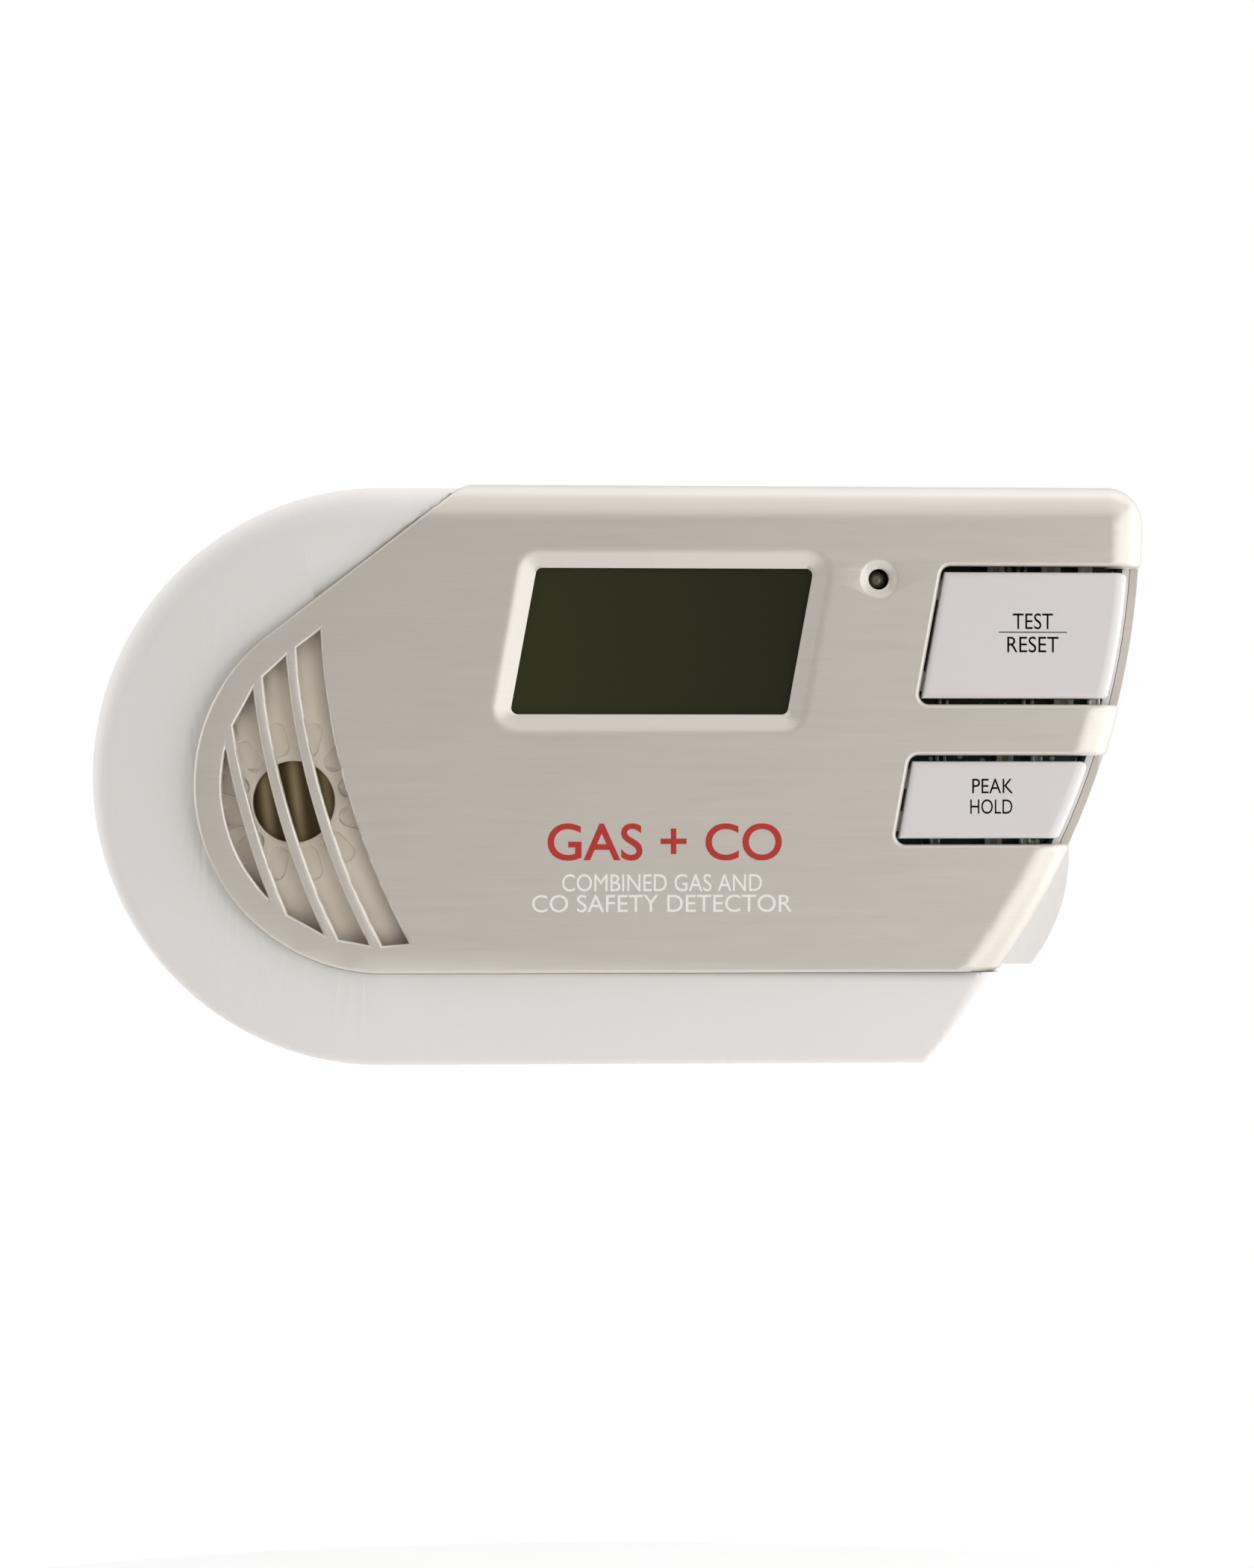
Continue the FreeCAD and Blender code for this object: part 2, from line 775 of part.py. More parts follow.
def window_corners():
    half_wide, half_high = window_width / 2, window_height / 2
    corners = []
    for sx, sz in ((-1, -1), (1, -1), (1, 1), (-1, 1)):
        corners.append((window_x + sx * half_wide + sz * half_high * lean, window_z + sz * half_high))
    return corners


def cut_window(body):
    pocket(body, rounded_loop(window_corners(), 1.0), seat_depth, body_depth)
    xs = [corner[0] for corner in window_corners()]

    def on_window(edge):
        box = edge.BoundBox
        inside = box.XMin > min(xs) - 0.1 and box.XMax < max(xs) + 0.1
        level = box.ZMin > window_z - window_height / 2 - 0.1 and box.ZMax < window_z + window_height / 2 + 0.1
        return at_depth(edge, body_depth) and inside and level

    bevel_edges(body, on_window, window_bevel, window_bevel_depth)
    round_edges(body, lambda edge: on_window_rim(edge, xs), window_softening)


def on_window_rim(edge, xs):
    # The outer edge of the window's bevel.
    box = edge.BoundBox
    reach = window_bevel + 0.5
    inside = box.XMin > min(xs) - reach and box.XMax < max(xs) + reach
    level = abs(box.Center.z - window_z) < window_height / 2 + reach
    return at_depth(edge, body_depth) and inside and level


def cut_light_hole(body):
    pocket(body, [ring((light_x, light_z), light_hole)], seat_depth, body_depth)

    def on_hole(edge):
        box = edge.BoundBox
        return at_depth(edge, body_depth) and abs(box.Center.x - light_x) < 0.1 and box.XLength < 4

    bevel_edges(body, on_hole, light_dish - light_hole, light_dish_depth)


def slot_corners(left, middle, height):
    half_high = height / 2
    far = half_length + 8
    low, high = middle - half_high, middle + half_high
    return [(left - half_high * lean, low), (far, low), (far, high), (left + half_high * lean, high)]


def cut_button_slots(body):
    for slot in button_slots:
        pocket(body, rounded_loop(slot_corners(*slot), slot_rounding), slot_floor, body_depth)
    round_edges(body, is_slot_edge, slot_edge)


def is_slot_edge(edge):
    # The front edges of both slots, down over the rounded side of the cover.
    box = edge.BoundBox
    over_side = -box.YMin > body_depth - 0.01 and -box.YMax < seat_depth and box.XLength > 1
    middle = edge.valueAt((edge.FirstParameter + edge.LastParameter) / 2)
    return (at_depth(edge, body_depth) or over_side) and any(on_slot_wall(middle, *slot) for slot in button_slots)


def on_slot_wall(point, left, slot_z, height):
    off_level = abs(abs(point.z - slot_z) - height / 2)
    off_left = abs(point.x - left - (point.z - slot_z) * lean)
    within = abs(point.z - slot_z) < height / 2 + 0.01
    level = off_level < 0.01 and point.x > left - height / 2 * lean
    return level or (within and off_left < slot_rounding * 0.7 and point.x < left + height)


def circle_meets_bow(radius, margin, upper):
    # Where a vent circle crosses the vent's envelope, which follows the bow and the slant.
    reach = bow_radius - margin
    dx, dz = bow_x - vent_centre_x, bow_z - vent_centre_z
    span = math.hypot(dx, dz)
    along = (radius ** 2 - reach ** 2 + span ** 2) / (2 * span)
    across = math.sqrt(radius ** 2 - along ** 2)
    ux, uz = dx / span, dz / span
    turn = 1 if upper else -1
    point = (vent_centre_x + ux * along + turn * uz * across, vent_centre_z + uz * along - turn * ux * across)
    if upper and math.atan2(point[1] - bow_z, point[0] - bow_x) < math.pi / 2 + slant \
            and point[1] > bow_z:
        return circle_meets_slant(radius, margin)
    return point


def circle_meets_slant(radius, margin):
    start = polar((bow_x, bow_z), bow_radius - margin, math.pi / 2 + slant)
    along = (math.cos(slant), math.sin(slant))
    dx, dz = start[0] - vent_centre_x, start[1] - vent_centre_z
    half = dx * along[0] + dz * along[1]
    reach = -half - math.sqrt(half ** 2 - (dx ** 2 + dz ** 2 - radius ** 2))
    return (start[0] + reach * along[0], start[1] + reach * along[1])


def angle_about_vent(point):
    return math.atan2(point[1] - vent_centre_z, point[0] - vent_centre_x) % (2 * math.pi)


def vent_band(inner, outer):
    corners = {}
    for tag, radius in (("inner", inner), ("outer", outer)):
        for upper in (True, False):
            corners[tag, upper] = circle_meets_bow(radius, vent_margin, upper)
    centre = (vent_centre_x, vent_centre_z)
    pieces = []
    for tag, radius in (("inner", inner), ("outer", outer)):
        first = angle_about_vent(corners[tag, True])
        last = angle_about_vent(corners[tag, False])
        pieces.append(arc(centre, radius, first, last))
    pieces.append(line(corners["inner", True], corners["outer", True]))
    pieces.append(line(corners["inner", False], corners["outer", False]))
    return pieces


def vent_sliver(inner):
    upper = circle_meets_bow(inner, vent_margin, True)
    lower = circle_meets_bow(inner, vent_margin, False)
    first = math.atan2(upper[1] - bow_z, upper[0] - bow_x) % (2 * math.pi)
    last = math.atan2(lower[1] - bow_z, lower[0] - bow_x) % (2 * math.pi)
    return [
        arc((vent_centre_x, vent_centre_z), inner, angle_about_vent(upper), angle_about_vent(lower)),
        arc((bow_x, bow_z), bow_radius - vent_margin, first, last),
    ]


def cut_vent(body):
    pitch = vent_slot + vent_rib
    slots = []
    for i in range(3):
        inner = vent_radius + i * pitch
        slots += vent_band(inner, inner + vent_slot)
    slots += vent_sliver(vent_radius + 3 * pitch)
    pocket(body, slots, seat_depth, body_depth)

    def on_vent(edge):
        box = edge.BoundBox
        inside = box.XMin > bow_x - bow_radius + 2 and box.XMax < bow_x + 8
        level = box.ZMin > cover_bottom + 2 and box.ZMax < bow_z + bow_radius
        return at_depth(edge, body_depth) and inside and level

    round_edges(body, on_vent, vent_edge)


# ---- buttons ----
def cap_outline(left, middle, height, inset):
    half_high = height / 2 - cap_gap - inset
    low, high = middle - half_high, middle + half_high
    near = left + cap_side_gap + inset
    low_left, high_left = (near - half_high * lean, low), (near + half_high * lean, high)
    edge = cap_inset + inset
    return [
        line(high_left, low_left),
        line(low_left, side_point(low, edge)),
        arc((side_x, side_centre_z), side_radius - edge, side_angle(low, edge), side_angle(high, edge)),
        line(side_point(high, edge), high_left),
    ]


def switch_spot(left, middle):
    return ((left + side_point(middle, 0)[0]) / 2, middle)


def make_button(label, left, middle, height):
    body = new_body(label)
    top = body_depth + cap_proud
    pad(body, cap_outline(left, middle, height, 0), top - cap_drop, top)
    end_middle = side_point(middle, cap_inset)[0]
    round_edges(body, lambda e: at_depth(e, top) and abs(e.BoundBox.Center.x - end_middle) < 2, cap_end_rounding)
    round_edges(body, lambda e: at_depth(e, top), cap_edge)
    pocket(body, cap_outline(left, middle, height, cap_wall), top - cap_drop, top - cap_wall - 0.3)
    spot = switch_spot(left, middle)
    pad(body, [ring(spot, post_radius)], plunger_top + press_gap, top - cap_wall)
    tabs = []
    for turn in (-1, 1):
        rise = middle + turn * (height / 2 - cap_gap - 2.6)
        edge = left + cap_side_gap + (rise - middle) * lean
        tabs += rectangle(edge - 1.7, edge + 0.9, rise - 1.5, rise + 1.5)
    under = body_depth - cover_plate - 0.25
    pad(body, tabs, under - 1.4, under)


def make_switch(label, plunger_label, left, middle):
    x, z = switch_spot(left, middle)
    half = switch_width / 2
    shell = block(x - half, x + half, board_front, board_front + switch_height, z - half, z + half)
    bore = rod(x, z, plunger_radius + 0.05, board_front + switch_height - 1.0, board_front + switch_height + 1)
    name(cut(shell, [bore]), label)
    name(rod(x, z, plunger_radius, board_front + switch_height - 0.5, plunger_top), plunger_label)


# ---- display ----
def make_display():
    x0, x1 = window_x - window_width / 2 - 4.2, window_x + window_width / 2 + 4.2
    z0, z1 = window_z - window_height / 2 - 2.2, window_z + window_height / 2 + 2.2
    glass_front = body_depth - cover_plate - 0.2
    name(block(x0, x1, glass_front - 2.2, glass_front, z0, z1), "display_glass")
    name(block(x0 + 0.5, x1 - 0.5, glass_front - 5.2, glass_front - 2.3, z0 + 4, z1 - 4), "display_backlight")
    rails = [block(x0, x1, board_front, glass_front - 2.3, z, z + 2.6) for z in (z0 + 0.6, z1 - 3.2)]
    name(group(rails), "contact_strips")
    edge = 1.4
    outer = block(x0 - edge, x1 + edge, board_front, glass_front - 0.3, z0 - edge, z1 + edge)
    inner = block(x0 - 0.1, x1 + 0.1, board_front - 1, glass_front + 1, z0 - 0.1, z1 + 0.1)
    name(cut(outer, [inner]), "display_frame")


def make_status_light():
    shoulder = board_front + lamp_height
    shank = rod(light_x, light_z, lamp_radius, board_front, shoulder)
    dome = doc.addObject("Part::Sphere", "dome")
    dome.Placement = Placement(Vector(light_x, -shoulder, light_z - plug_rise), Rotation())
    set_length(dome, "Radius", lamp_radius)
    place(dome, light_x, shoulder, light_z)
    flange = rod(light_x, light_z, lamp_radius + 0.4, board_front, board_front + 1.0)
    name(fuse([shank, dome, flange]), "status_light")


# ---- boards and what they carry ----
def make_main_board():
    body = new_body("main_board")
    pad(body, board_outline(), board_depth, board_front)
    pocket(body, [ring(spot, boss_radius + 0.5) for spot in case_screw_spots[2:]], board_depth, board_front)
    pocket(body, [ring(spot, board_screw_radius + 0.3) for spot in board_screw_spots], board_depth, board_front)


def make_board_parts():
    chip_left, chip_side, chip_z = board_left + 35, 10.0, -15.0
    name(block(chip_left, chip_left + chip_side, board_front, board_front + 1.5, chip_z, chip_z + chip_side),
         "microcontroller")
    name(rod(board_left + 9.5, -5.0, 7.2, board_front, board_front + 7.5), "carbon_monoxide_cell")
    can_x, can_z, can_radius, screen_radius = board_left + 6.4, 24.0, 4.6, 3.1
    can = rod(can_x, can_z, can_radius, board_front, board_front + 7.0)
    well = rod(can_x, can_z, screen_radius, board_front + 5.5, board_front + 8)
    name(cut(can, [well]), "gas_sensor_can")
    name(rod(can_x, can_z, screen_radius, board_front + 5.5, board_front + 6.2), "gas_sensor_screen")
    name(rod(board_left + 27, -22.0, 4.5, board_front, board_front + 4.6), "horn_coil")
    spots = [(53, -8.0), (53, -16.0), (61, -12.0), (19, -18.0)]
    name(group([rod(board_left + reach, z, 2.5, board_front, board_front + 4.8) for reach, z in spots]),
         "board_capacitors")


def make_power_board():
    body = new_body("power_board")
    low, notch_z, high = -30.0, 7.5, 29.0
    corners = [
        (power_left, low), (power_notch, low), (power_notch, notch_z),
        (power_right, notch_z), (power_right, high), (power_left, high),
    ]
    pad(body, loop(corners), power_depth, power_depth + board_thickness)


def make_transformer():
    x0, x1, z0, z1 = power_left + 1, power_left + 29, -21.0, 3.0
    near, far = 13.5, 22.0
    middle = (x0 + x1) / 2
    core = block(x0, x1, near, far, z0, z1)
    windows = []
    for side in (-1, 1):
        window_mid = middle + side * 7.0
        windows.append(block(window_mid - 3, window_mid + 3, near - 1, far + 1, z0 + 4, z1 - 4))
    name(cut(core, windows), "transformer_core")
    outer = block(middle - 9.8, middle + 9.8, near - 3.8, far + 3.8, z0 + 4.1, z1 - 4.1)
    leg = block(middle - 4.1, middle + 4.1, near - 0.1, far + 0.1, z0, z1)
    name(cut(outer, [leg]), "transformer_winding")


def make_power_parts():
    face = power_depth + board_thickness
    fuse_left, fuse_length, fuse_cap, fuse_z = power_left + 33, 20.0, 5.0, 23.0
    fuse_axis = face + 2.8
    tube = rod_along_x(fuse_left, fuse_left + fuse_length, fuse_axis, fuse_z, 2.3)
    caps = [rod_along_x(x, x + fuse_cap, fuse_axis, fuse_z, 2.7)
            for x in (fuse_left, fuse_left + fuse_length - fuse_cap)]
    name(fuse([tube] + caps), "mains_fuse")
    name(rod_along_x(power_left + 19, power_left + 23, face + 5, 18.0, 5.0), "surge_absorber")
    can_x = power_left + 39
    name(group([rod(can_x, -16.0, 5.0, face, face + 14), rod(can_x, -3.0, 4.0, face, face + 12)]),
         "filter_capacitors")
    pin_pitch, pin_width, header_z = 2.54, 0.64, 24.0
    pins = []
    for i in range(6):
        x = power_left + 11 + i * pin_pitch
        pins.append(block(x, x + pin_width, face, board_depth, header_z, header_z + pin_width))
    bar = block(power_left + 10, power_left + 25, face, face + 2.5, header_z - 1, header_z + 1.6)
    name(fuse(pins + [bar]), "board_header")


# ---- sounder ----
def make_horn():
    body = new_body("horn_housing")
    near = shelf_depth - fit_gap - horn_plate
    far = shelf_depth - fit_gap
    face = body_depth - cover_plate - horn_below_cover
    drum = (horn_x, horn_z)
    pad(body, [ring(drum, drum_radius)], rear_depth + 0.5, near)
    pocket(body, [ring(drum, drum_radius - drum_wall)], rear_depth + 0.5, near)
    pad(body, horn_plate_outline(cover_rim - 1.2), near, far)
    pad(body, horn_plate_outline(cover_rim + 1.3), far, face)
    pocket(body, [ring(drum, horn_hole)], near, face)
    pad(body, [ring(drum, drum_radius - 0.5), ring(drum, disc_radius - 1.2)], disc_depth + 0.35, near)
    flutes = []
    for i in range(12):
        flutes += flute(math.radians(15 + i * 30))
    pocket(body, flutes, face - flute_depth, face)
    round_edges(body, lambda e: at_depth(e, face) and flute_start - 3 < reach_of(e) < flute_end + 3, flute_edge)
    back = rod(horn_x, horn_z, drum_radius - drum_wall - 0.1, rear_depth + 0.5, rear_depth + 2)
    name(back, "horn_back")
    name(rod(horn_x, horn_z, disc_radius, disc_depth, disc_depth + 0.3), "sounder_disc")
    name(rod(horn_x, horn_z, disc_radius - 4, disc_depth - 0.25, disc_depth), "sounder_ceramic")
    leads = [rod(horn_x + dx, horn_z + 11.4, 0.5, power_depth + board_thickness, rear_depth + 0.5)
             for dx in (-2, 2)]
    name(group(leads), "horn_leads")


def reach_of(edge):
    # How far the middle of an edge lies from the sounder's axis.
    middle = edge.valueAt((edge.FirstParameter + edge.LastParameter) / 2)
    return math.hypot(middle.x - horn_x, middle.z - horn_z)


def flute(angle):
    # A shallow round-ended groove that points away from the sounder's hole.
    near = polar((horn_x, horn_z), flute_start, angle)
    far = polar((horn_x, horn_z), flute_end, angle)
    sides = []
    for turn in (-1, 1):
        across = angle + turn * math.pi / 2
        sides.append(line(polar(near, flute_radius, across), polar(far, flute_radius, across)))
    return sides + [
        arc(far, flute_radius, angle - math.pi / 2, angle + math.pi / 2),
        arc(near, flute_radius, angle + math.pi / 2, angle + math.pi * 1.5),
    ]


def horn_plate_outline(free):
    # It follows the cover's free edge, inset by free, and stops short of the parts on the board.
    right = board_left + 1.4
    bottom = cover_bottom + free
    return [
        arc((bow_x, bow_z), bow_radius - free, math.pi / 2 + slant, math.pi * 1.5),
        line((bow_x, bottom), (right, bottom)),
        line((right, bottom), (right, slant_height(free, right))),
        line((right, slant_height(free, right)), bow_end(free)),
    ]


def slant_height(free, x):
    start = bow_end(free)
    return start[1] + (x - start[0]) * math.tan(slant)


# ---- battery and drawer ----
def make_battery():
    x1 = battery_left + battery_length
    z0 = drawer_z - battery_width / 2
    z1 = drawer_z + battery_width / 2
    can = block(battery_left, x1, battery_depth, battery_depth + battery_thickness, z0, z1)
    rounded = doc.addObject("Part::Fillet", "battery_can")
    rounded.Base = can
    doc.recompute()
    rounded.Edges = [(i + 1, 1.5, 1.5) for i, edge in enumerate(can.Shape.Edges)
                     if edge.BoundBox.XLength > battery_length - 1]
    name(rounded, "battery")
    middle = battery_depth + battery_thickness / 2
    studs = [rod_along_x(battery_left - 2.8, battery_left, middle, drawer_z + side * 6.35, radius)
             for side, radius in ((1, 2.9), (-1, 3.9))]
    name(group(studs), "battery_terminals")


def make_contacts():
    middle = battery_depth + battery_thickness / 2
    contact_x = battery_left - 2.8 - 0.3
    strips = []
    for side in (1, -1):
        z = drawer_z + side * 6.35
        strips.append(block(contact_x - 0.4, contact_x, middle - 4, board_depth, z - 2.5, z + 2.5))
    name(group(strips), "battery_contacts")
    holder = block(contact_x - 2.9, contact_x - 0.4, rear_wall, battery_depth + battery_thickness,
                   drawer_z - 12, drawer_z + 12)
    name(holder, "contact_holder")


def front_block(inset):
    # Drawer front: it follows the side of the casing, and its lower half swells into a thumb lip.
    low, high = drawer_low + inset, drawer_high - inset
    lip_reach = lip_radius - inset
    lip_low = math.asin((low - drawer_z) / lip_reach)
    meet = lip_meets_side(inset)
    back = bay_end + 0.9 - inset
    lip_high = math.atan2(meet[1] - drawer_z, meet[0] - lip_x)
    lip_end = polar((lip_x, drawer_z), lip_reach, lip_low)
    return [
        arc((lip_x, drawer_z), lip_reach, lip_low, lip_high),
        arc((side_x, side_centre_z), side_radius - inset, side_angle(meet[1], inset), side_angle(high, inset)),
        line(side_point(high, inset), (back, high)),
        line((back, high), (back, low)),
        line((back, low), lip_end),
    ]


def lip_meets_side(inset):
    # Upper crossing of the lip's arc with the casing's side arc.
    big, small = side_radius - inset, lip_radius - inset
    dx, dz = lip_x - side_x, drawer_z - side_centre_z
    span = math.hypot(dx, dz)
    along = (big ** 2 - small ** 2 + span ** 2) / (2 * span)
    across = math.sqrt(big ** 2 - along ** 2)
    ux, uz = dx / span, dz / span
    return (side_x + ux * along - uz * across, side_centre_z + uz * along + ux * across)


def make_drawer():
    body = new_body("battery_drawer")
    pad(body, front_block(0), drawer_front_depth, drawer_far)
    half_wide = battery_width / 2 + 0.2
    tray_wall = drawer_wall - 0.2
    inner_end = bay_end + 2
    outer = rectangle(battery_left - 2.0, inner_end, drawer_z - half_wide - tray_wall,
                      drawer_z + half_wide + tray_wall)
    pad(body, outer, drawer_front_depth, battery_depth + battery_thickness / 2)
    hollow = rectangle(battery_left - 3.0, battery_left + battery_length + 0.2, drawer_z - half_wide,
                       drawer_z + half_wide)
    pocket(body, hollow, battery_depth, drawer_far + 1)
    pocket(body, front_block(drawer_wall + 0.5), drawer_front_depth + 1.8, drawer_far - 1.8)


# ---- mains plug ----
def make_plug():
    inner_end = power_depth
    blades = (("plug_blade_line", -blade_spacing / 2, blade_width),
              ("plug_blade_neutral", blade_spacing / 2, neutral_width))
    for label, x, width in blades:
        strip = block(x - blade_thickness / 2, x + blade_thickness / 2, -blade_length, inner_end,
                      plug_rise - width / 2, plug_rise + width / 2)
        hole = rod_along_x(x - blade_thickness, x + blade_thickness, -blade_hole_reach, plug_rise, blade_hole)
        drilled = cut(strip, [hole])
        doc.recompute()
        rounded = doc.addObject("Part::Fillet", "blade_tip")
        rounded.Base = drilled
        rounded.Edges = [(i + 1, 1.4, 1.4) for i, edge in enumerate(drilled.Shape.Edges) if is_blade_tip(edge)]
        name(rounded, label)
    carrier = block(-12.5, 12.5, rear_wall, power_depth - 0.1, plug_rise - 5, plug_rise + 5)
    slots = [block(x - blade_thickness / 2, x + blade_thickness / 2, 0, inner_end + 1,
                   plug_rise - width / 2, plug_rise + width / 2) for _, x, width in blades]
    name(cut(carrier, slots), "plug_carrier")


def is_blade_tip(edge):
    box = edge.BoundBox
    return abs(box.YMin - blade_length) < 0.01 and box.XLength > blade_thickness * 0.9 and box.ZLength < 0.01


# ---- fasteners ----
def cross_recess(x, z, near, far):
    # Two crossing slots that take the screwdriver.
    half = drive_width / 2
    return [
        block(x - drive_reach, x + drive_reach, near, far, z - half, z + half),
        block(x - half, x + half, near, far, z - drive_reach, z + drive_reach),
    ]


def make_case_screws():
    # Their heads sit in the rear recesses and face the wall.
    screws = []
    for x, z in case_screw_spots:
        head_end = head_recess - head_height
        head = rod(x, z, head_radius, head_end, head_recess)
        shank = rod(x, z, screw_radius, head_recess, head_recess + screw_length)
        screws.append(cut(fuse([head, shank]), cross_recess(x, z, head_end, head_end + drive_depth)))
    name(group(screws), "case_screws")


def make_board_screws():
    # Their heads bear on the front of the main board.
    head_end = board_front + head_height
    screws = []
    for x, z in board_screw_spots:
        head = rod(x, z, board_head_radius, board_front, head_end)
        shank = rod(x, z, board_screw_radius, board_front - board_screw_length, board_front)
        screws.append(cut(fuse([head, shank]), cross_recess(x, z, head_end - drive_depth, head_end)))
    name(group(screws), "board_screws")


make_rear_housing()
make_front_housing()
make_front_cover()
make_rating_label()
make_button("test_button", test_slot_x, test_slot_z, test_slot_height)
make_button("peak_button", peak_slot_x, peak_slot_z, peak_slot_height)
make_switch("test_switch", "test_plunger", test_slot_x, test_slot_z)
make_switch("peak_switch", "peak_plunger", peak_slot_x, peak_slot_z)
make_display()
make_status_light()
make_main_board()
make_board_parts()
make_power_board()
make_transformer()
make_power_parts()
make_horn()
make_battery()
make_contacts()
make_drawer()
make_plug()
make_case_screws()
make_board_screws()

doc.recompute()
for item in doc.Objects:
    if "Invalid" in item.State or "Error" in item.State:
        raise RuntimeError(f"{item.Label} failed: {item.State}")
for part in parts:
    if part.Shape.isNull() or not part.Shape.isValid():
        raise RuntimeError(f"{part.Label} has no valid shape")
os.makedirs("parts", exist_ok=True)
for part in parts:
    part.Shape.exportStep(f"parts/{part.Label}.step")
    print(part.Label, round(part.Shape.Volume, 1), len(part.Shape.Solids))
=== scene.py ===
import json
import math

import bpy
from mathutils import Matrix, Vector


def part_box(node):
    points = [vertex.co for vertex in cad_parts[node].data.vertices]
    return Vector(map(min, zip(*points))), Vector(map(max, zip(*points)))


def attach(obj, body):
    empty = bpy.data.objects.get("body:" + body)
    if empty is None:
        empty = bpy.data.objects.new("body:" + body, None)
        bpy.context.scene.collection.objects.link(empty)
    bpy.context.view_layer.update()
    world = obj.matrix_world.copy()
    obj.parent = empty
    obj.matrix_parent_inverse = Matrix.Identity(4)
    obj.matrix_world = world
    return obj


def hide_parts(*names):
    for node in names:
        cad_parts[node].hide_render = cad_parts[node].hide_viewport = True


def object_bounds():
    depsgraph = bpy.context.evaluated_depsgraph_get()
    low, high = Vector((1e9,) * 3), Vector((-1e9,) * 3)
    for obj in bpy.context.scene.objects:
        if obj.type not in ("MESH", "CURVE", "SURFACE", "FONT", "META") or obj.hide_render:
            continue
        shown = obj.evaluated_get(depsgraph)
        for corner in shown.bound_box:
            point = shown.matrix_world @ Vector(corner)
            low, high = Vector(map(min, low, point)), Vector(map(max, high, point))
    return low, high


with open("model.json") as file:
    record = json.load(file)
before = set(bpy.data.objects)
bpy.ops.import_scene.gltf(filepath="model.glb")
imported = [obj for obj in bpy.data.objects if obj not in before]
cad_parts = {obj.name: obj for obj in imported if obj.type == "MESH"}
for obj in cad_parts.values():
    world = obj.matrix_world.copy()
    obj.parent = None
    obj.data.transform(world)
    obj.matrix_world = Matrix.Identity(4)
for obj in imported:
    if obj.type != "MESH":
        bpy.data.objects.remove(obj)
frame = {"nodes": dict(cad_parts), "record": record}
cadBox = [[float(value) for value in corner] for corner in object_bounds()]
mm = 0.001
print("frame loaded:", len(frame["nodes"]), "nodes")


class Wire:
    # One shader socket. Arithmetic on it adds Math nodes to its material.
    def __init__(self, finish, socket):
        self.finish = finish
        self.socket = socket

    def sum(self, operation, first, second=0.0):
        return self.finish.node("ShaderNodeMath", {"operation": operation}, {0: first, 1: second})

    def __add__(self, other):
        return self.sum("ADD", self, other)

    def __radd__(self, other):
        return self.sum("ADD", other, self)

    def __sub__(self, other):
        return self.sum("SUBTRACT", self, other)

    def __rsub__(self, other):
        return self.sum("SUBTRACT", other, self)

    def __mul__(self, other):
        return self.sum("MULTIPLY", self, other)

    def __rmul__(self, other):
        return self.sum("MULTIPLY", other, self)

    def __truediv__(self, other):
        return self.sum("DIVIDE", self, other)

    def __gt__(self, other):
        return self.sum("GREATER_THAN", self, other)

    def __lt__(self, other):
        return self.sum("LESS_THAN", self, other)

    def power(self, other):
        return self.sum("POWER", self, other)

    def wave(self):
        return self.sum("SINE", self)

    def apart(self):
        return self.sum("ABSOLUTE", self)

    def fraction(self):
        return self.sum("FRACT", self)

    def clamped(self):
        return self.finish.node("ShaderNodeClamp", {}, {"Value": self})


class Finish:
    # A material being built round one Principled shader.
    def __init__(self, title, **fixed):
        self.material = bpy.data.materials.new(title)
        self.material.use_nodes = True
        self.tree = self.material.node_tree
        self.shader = self.tree.nodes["Principled BSDF"]
        self.set(**fixed)

    def set(self, **values):
        # Socket names are given in camelCase: baseColor, coatWeight.
        for key, value in values.items():
            words = "".join(" " + letter if letter.isupper() else letter for letter in key).title()
            self.link(self.shader.inputs[words.replace("Ior", "IOR")], value)

    def link(self, socket, value):
        if isinstance(value, Wire):
            self.tree.links.new(value.socket, socket)
        elif hasattr(socket.default_value, "__len__") and len(value) == 3 and len(socket.default_value) == 4:
            socket.default_value = (*value, 1.0)
        else:
            socket.default_value = value

    def node(self, kind, settings, inputs, output=0):
        made = self.tree.nodes.new(kind)
        for key, value in settings.items():
            setattr(made, key, value)
        for key, value in inputs.items():
            self.link(made.inputs[key], value)
        return Wire(self, made.outputs[output])

    def place(self, scale=(1, 1, 1)):
        spot = self.node("ShaderNodeTexCoord", {}, {}, "Object")
        return self.node("ShaderNodeMapping", {}, {"Vector": spot, "Scale": scale})

    def axes(self):
        spot = self.node("ShaderNodeTexCoord", {}, {}, "Object")
        split = self.node("ShaderNodeSeparateXYZ", {}, {"Vector": spot})
        return [Wire(self, socket) for socket in split.socket.node.outputs]

    def noise(self, scale=(1, 1, 1), size=1.0, detail=2.0, roughness=0.5):
        values = {"Vector": self.place(scale), "Scale": size, "Detail": detail, "Roughness": roughness}
        return self.node("ShaderNodeTexNoise", {}, values)

    def blend(self, factor, first, second):
        values = {0: factor, 6: (*first, 1.0) if isinstance(first, tuple) else first,
                  7: (*second, 1.0) if isinstance(second, tuple) else second}
        return self.node("ShaderNodeMix", {"data_type": "RGBA"}, values, 2)

    def bump(self, height, strength, distance):
        values = {"Height": height, "Strength": strength, "Distance": distance}
        return self.node("ShaderNodeBump", {}, values)


def tint(red, green, blue):
    # Screen values of 0 to 255 as a linear colour.
    levels = [value / 255 for value in (red, green, blue)]
    return tuple(v / 12.92 if v < 0.04045 else ((v + 0.055) / 1.055) ** 2.4 for v in levels)


